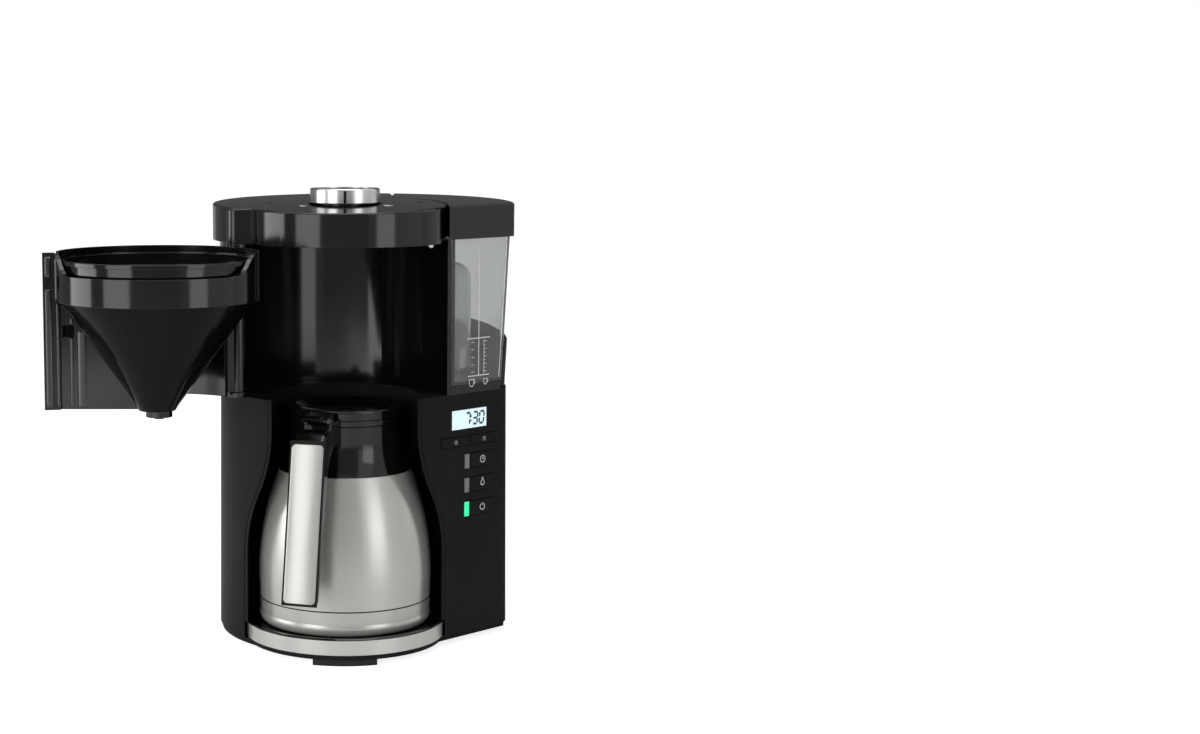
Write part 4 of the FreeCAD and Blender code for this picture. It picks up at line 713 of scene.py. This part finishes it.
def make_cone_ribs():
    """Short upright ribs inside the filter cone, under its rim."""
    low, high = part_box("filter_cone")
    middle = (low + high) / 2
    r_top = (high.x - low.x) / 2 / MM - RIB_FROM_RIM
    top = high.z / MM - RIB_UNDER_RIM
    bm = bmesh.new()
    for i in range(CONE_RIBS):
        angle = 2 * math.pi * i / CONE_RIBS
        slope = RIB_SLOPE + RIB_SLOPE_CHANGE * math.cos(2 * angle)
        along = Vector((math.cos(angle), math.sin(angle), 0))
        side = Vector((-along.y, along.x, 0))
        rows = []
        for step in range(RIB_STEPS + 1):
            share = step / RIB_STEPS
            r = r_top - slope * RIB_LENGTH * share
            z = top - RIB_LENGTH * share
            wave = min(1, RIB_WAVE_START + share * RIB_WAVE_LENGTH)
            rise = RIB_RISE * math.sin(math.pi * wave) + RIB_LEAST
            row = []
            for across, lift in ((-0.5, -RIB_ROOT), (-0.25, rise), (0.25, rise), (0.5, -RIB_ROOT)):
                place = along * (r - lift) + side * (across * RIB_WIDTH) + Vector((0, 0, z))
                row.append(bm.verts.new(place * MM))
            rows.append(row)
        skin(bm, rows)
        cap_ends(bm, rows)
    place = Matrix.Translation(Vector((middle.x, middle.y, 0)))
    add_piece("cone_ribs", mesh_from("cone_ribs", bm), "gloss_black", "cone", place)


# Upright ribs on the free edge of the filter holder: place from the edge, height and width of each
EDGE_RIBS = ((4.5, 112.0, 5.0), (11.0, 112.0, 2.4), (20.5, 74.0, 2.6), (28.0, 74.0, 6.5))
EDGE_RIB_RISE = 0.8
EDGE_RIB_MARGIN = 2.0
EDGE_RIB_STEPS = 60
EDGE_RIB_JUMP = 1.0
EDGE_RIB_FEWEST = 5
# Crowned section: across and up, in widths and rises
RIB_CROWN = ((-0.5, -0.3), (-0.46, 0.35), (-0.37, 0.7), (-0.2, 0.93), (0.0, 1.0),
             (0.2, 0.93), (0.37, 0.7), (0.46, 0.35), (0.5, -0.3))


def rib_runs(x, low, high):
    """Unbroken runs of surface points up the holder's edge at one place."""
    runs = [[]]
    for i in range(EDGE_RIB_STEPS + 1):
        z = low + (high - low) * i / EDGE_RIB_STEPS
        here = first_hit("holder_shell", Vector((x, -1, z)), Vector((x, 1, z)))
        if here is None or (runs[-1] and abs(here[0].y - runs[-1][-1][0].y) > EDGE_RIB_JUMP * MM):
            runs.append([])
        if here:
            runs[-1].append(here)
    return [run for run in runs if len(run) >= EDGE_RIB_FEWEST]


def make_edge_ribs():
    low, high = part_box("holder_shell")
    foot = low.z + EDGE_RIB_MARGIN * MM
    bm = bmesh.new()
    for offset, height, width in EDGE_RIBS:
        for run in rib_runs(low.x + offset * MM, foot, foot + height * MM):
            rows = []
            for point, normal in run:
                side = normal.cross(Vector((0, 0, 1))).normalized()
                row = []
                for across, rise in RIB_CROWN:
                    step = side * (across * width) + normal * (rise * EDGE_RIB_RISE)
                    row.append(bm.verts.new(point + step * MM))
                rows.append(row)
            skin(bm, rows)
            cap_ends(bm, rows)
    add_piece("holder_edge_ribs", mesh_from("holder_edge_ribs", bm, True), "edge_black", "holder")


# Dark lip on the tank lid that closes the slit beside the brew head, a painted shadow in that gap
SHADOW_LIP_REACH = 1.55
SHADOW_LIP_ROOT = 0.3
SHADOW_LIP_ROUND = 0.4
SHADOW_LIP_FOOT = 4.5
SHADOW_LIP_DROP = 1.9
# Places along the lip, from the rear of the lid
SHADOW_LIP_BACKS = (88.0, 60.0, 30.0, 2.5)


def make_lid_shadow_lip():
    low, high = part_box("tank_lid")
    foot = low.z / MM + SHADOW_LIP_FOOT
    top = high.z / MM - SHADOW_LIP_DROP
    tip = low.x / MM - SHADOW_LIP_REACH
    root = low.x / MM + SHADOW_LIP_ROOT
    turn = tip + SHADOW_LIP_ROUND
    section = ((root, foot), (turn, foot), (tip, foot + SHADOW_LIP_ROUND),
               (tip, top - SHADOW_LIP_ROUND), (turn, top), (root, top))
    bm = bmesh.new()
    rows = []
    for back in SHADOW_LIP_BACKS:
        y = high.y / MM - back
        rows.append([bm.verts.new(Vector((x, y, z)) * MM) for x, z in section])
    skin(bm, rows)
    cap_ends(bm, rows)
    # The lip's dark rubber stands in for the shadow in the slit.
    add_piece("tank_lid_shadow_lip", mesh_from("tank_lid_shadow_lip", bm), "rubber_black", "tank_lid")


# Stage: floor, world, lamps and grey cards
def seen_rays(shader, others):
    """One for camera rays, and the given share for other kinds of rays."""
    path = shader.node("ShaderNodeLightPath")
    total = path.outputs["Is Camera Ray"]
    for name, share in others.items():
        part = shader.node("ShaderNodeMath", operation="MULTIPLY")
        part.inputs[1].default_value = share
        shader.link(path.outputs[name], part.inputs[0])
        larger = shader.node("ShaderNodeMath", operation="MAXIMUM")
        shader.link(total, larger.inputs[0])
        shader.link(part.outputs[0], larger.inputs[1])
        total = larger.outputs[0]
    return total


FLOOR_SIZE = 30
FLOOR_GLOW = 0.82
FLOOR_MIRRORED = 0.2


def make_floor():
    mesh = bpy.data.meshes.new("floor")
    half = FLOOR_SIZE / 2
    corners = [(-half, -half, 0), (half, -half, 0), (half, half, 0), (-half, half, 0)]
    mesh.from_pydata(corners, [], [(0, 1, 2, 3)])
    floor = bpy.data.objects.new("floor", mesh)
    bpy.context.scene.collection.objects.link(floor)
    shader = Shader(
        "floor_paper", Base_Color=(0.86, 0.86, 0.86, 1), Roughness=0.9, Specular_IOR_Level=0.1,
        Emission_Color=(1, 1, 1, 1))
    glow = shader.node("ShaderNodeMath", operation="MULTIPLY")
    glow.inputs[1].default_value = FLOOR_GLOW
    seen = seen_rays(shader, {"Is Glossy Ray": FLOOR_MIRRORED, "Is Transmission Ray": 1.0})
    shader.link(seen, glow.inputs[0])
    shader.link(glow.outputs[0], shader.main.inputs["Emission Strength"])
    floor.data.materials.append(shader.material)


WORLD_LIGHT = 0.25
WORLD_SEEN = 1.0


class WorldShader(Shader):
    def __init__(self, world):
        self.tree = world.node_tree


def make_world():
    world = bpy.data.worlds.new("studio")
    world.use_nodes = True
    bpy.context.scene.world = world
    shader = WorldShader(world)
    back = world.node_tree.nodes["Background"]
    back.inputs["Color"].default_value = (1, 1, 1, 1)
    ramp = shader.node("ShaderNodeMapRange")
    ramp.inputs["To Min"].default_value = WORLD_LIGHT
    ramp.inputs["To Max"].default_value = WORLD_SEEN
    seen = seen_rays(shader, {"Is Glossy Ray": 1.0, "Is Transmission Ray": 1.0})
    shader.link(seen, ramp.inputs["Value"])
    shader.link(ramp.outputs["Result"], back.inputs["Strength"])


LAMP_TARGET = Vector((0, 0, 0.18))
# Place of each lamp from the brew axis, width, height, power, and whether reflections show it
LAMPS = {
    "key_left": ((-1.20, -1.34, 0.40), 0.9, 0.9, 5.8, True),
    "fill_right": ((1.32, -1.28, 0.40), 0.7, 0.9, 3.6, True),
    "side_left": ((-1.85, -0.12, 0.25), 1.0, 0.7, 7, True),
    "top": ((0, -0.2, 1.9), 1.6, 1.2, 14, True),
    "front": ((-1.0, -1.7, 0.45), 1.8, 0.8, 19, False),
}


def soft_box(name, place, width, height, power, mirrored):
    data = bpy.data.lights.new(name, "AREA")
    data.shape = "RECTANGLE"
    data.size = width
    data.size_y = height
    data.energy = power
    lamp = bpy.data.objects.new(name, data)
    lamp.location = AXIS + Vector(place)
    lamp.rotation_euler = (AXIS + LAMP_TARGET - lamp.location).to_track_quat("-Z", "Y").to_euler()
    lamp.visible_glossy = mirrored
    bpy.context.scene.collection.objects.link(lamp)


def make_lights():
    for name, settings in LAMPS.items():
        soft_box(name, *settings)


CARD_REACH = 2.3
CARD_HEIGHT = 2.6
# Start and end of each card round the object in degrees from +X, its foot, and its shade from 0 to 1
CARDS = (
    (35, 118, 0.32, 0.1), (118, 166, 0.02, 0.2), (198, 214, 0.02, 0.25), (244, 296, 0.02, 0.3),
    (326, 366, 0.02, 0.65))


def make_cards():
    """Grey studio cards round the object, which only reflections see."""
    for number, (start, end, foot, shade) in enumerate(CARDS):
        finish = Shader(
            "card_paper_%d" % number, Base_Color=(0, 0, 0, 1), Roughness=1.0, Specular_IOR_Level=0.0,
            Emission_Color=(1, 1, 1, 1), Emission_Strength=shade)
        bm = bmesh.new()
        rows = []
        for x, y in arc(0, 0, CARD_REACH, start, end, 10):
            rows.append([bm.verts.new((AXIS.x + x, AXIS.y + y, z)) for z in (foot, CARD_HEIGHT)])
        skin(bm, rows)
        mesh = bpy.data.meshes.new("card_%d" % number)
        bm.to_mesh(mesh)
        bm.free()
        card = bpy.data.objects.new("card_%d" % number, mesh)
        card.data.materials.append(finish.material)
        bpy.context.scene.collection.objects.link(card)
        card.visible_camera = False
        card.visible_shadow = False
        card.visible_diffuse = False
        card.visible_transmission = False


bpy.context.scene.view_settings.view_transform = "Standard"
make_camera()
make_world()
make_floor()
make_lights()
make_cards()
paint_nodes()
make_clock()
make_key_marks()
make_tank_scale()
make_tank_ticks()
make_cup_marks()
make_tank_column()
make_handle_inlay()
make_carafe_seam()
make_knob_line()
make_head_marks()
make_cone_ribs()
make_edge_ribs()
make_lid_shadow_lip()
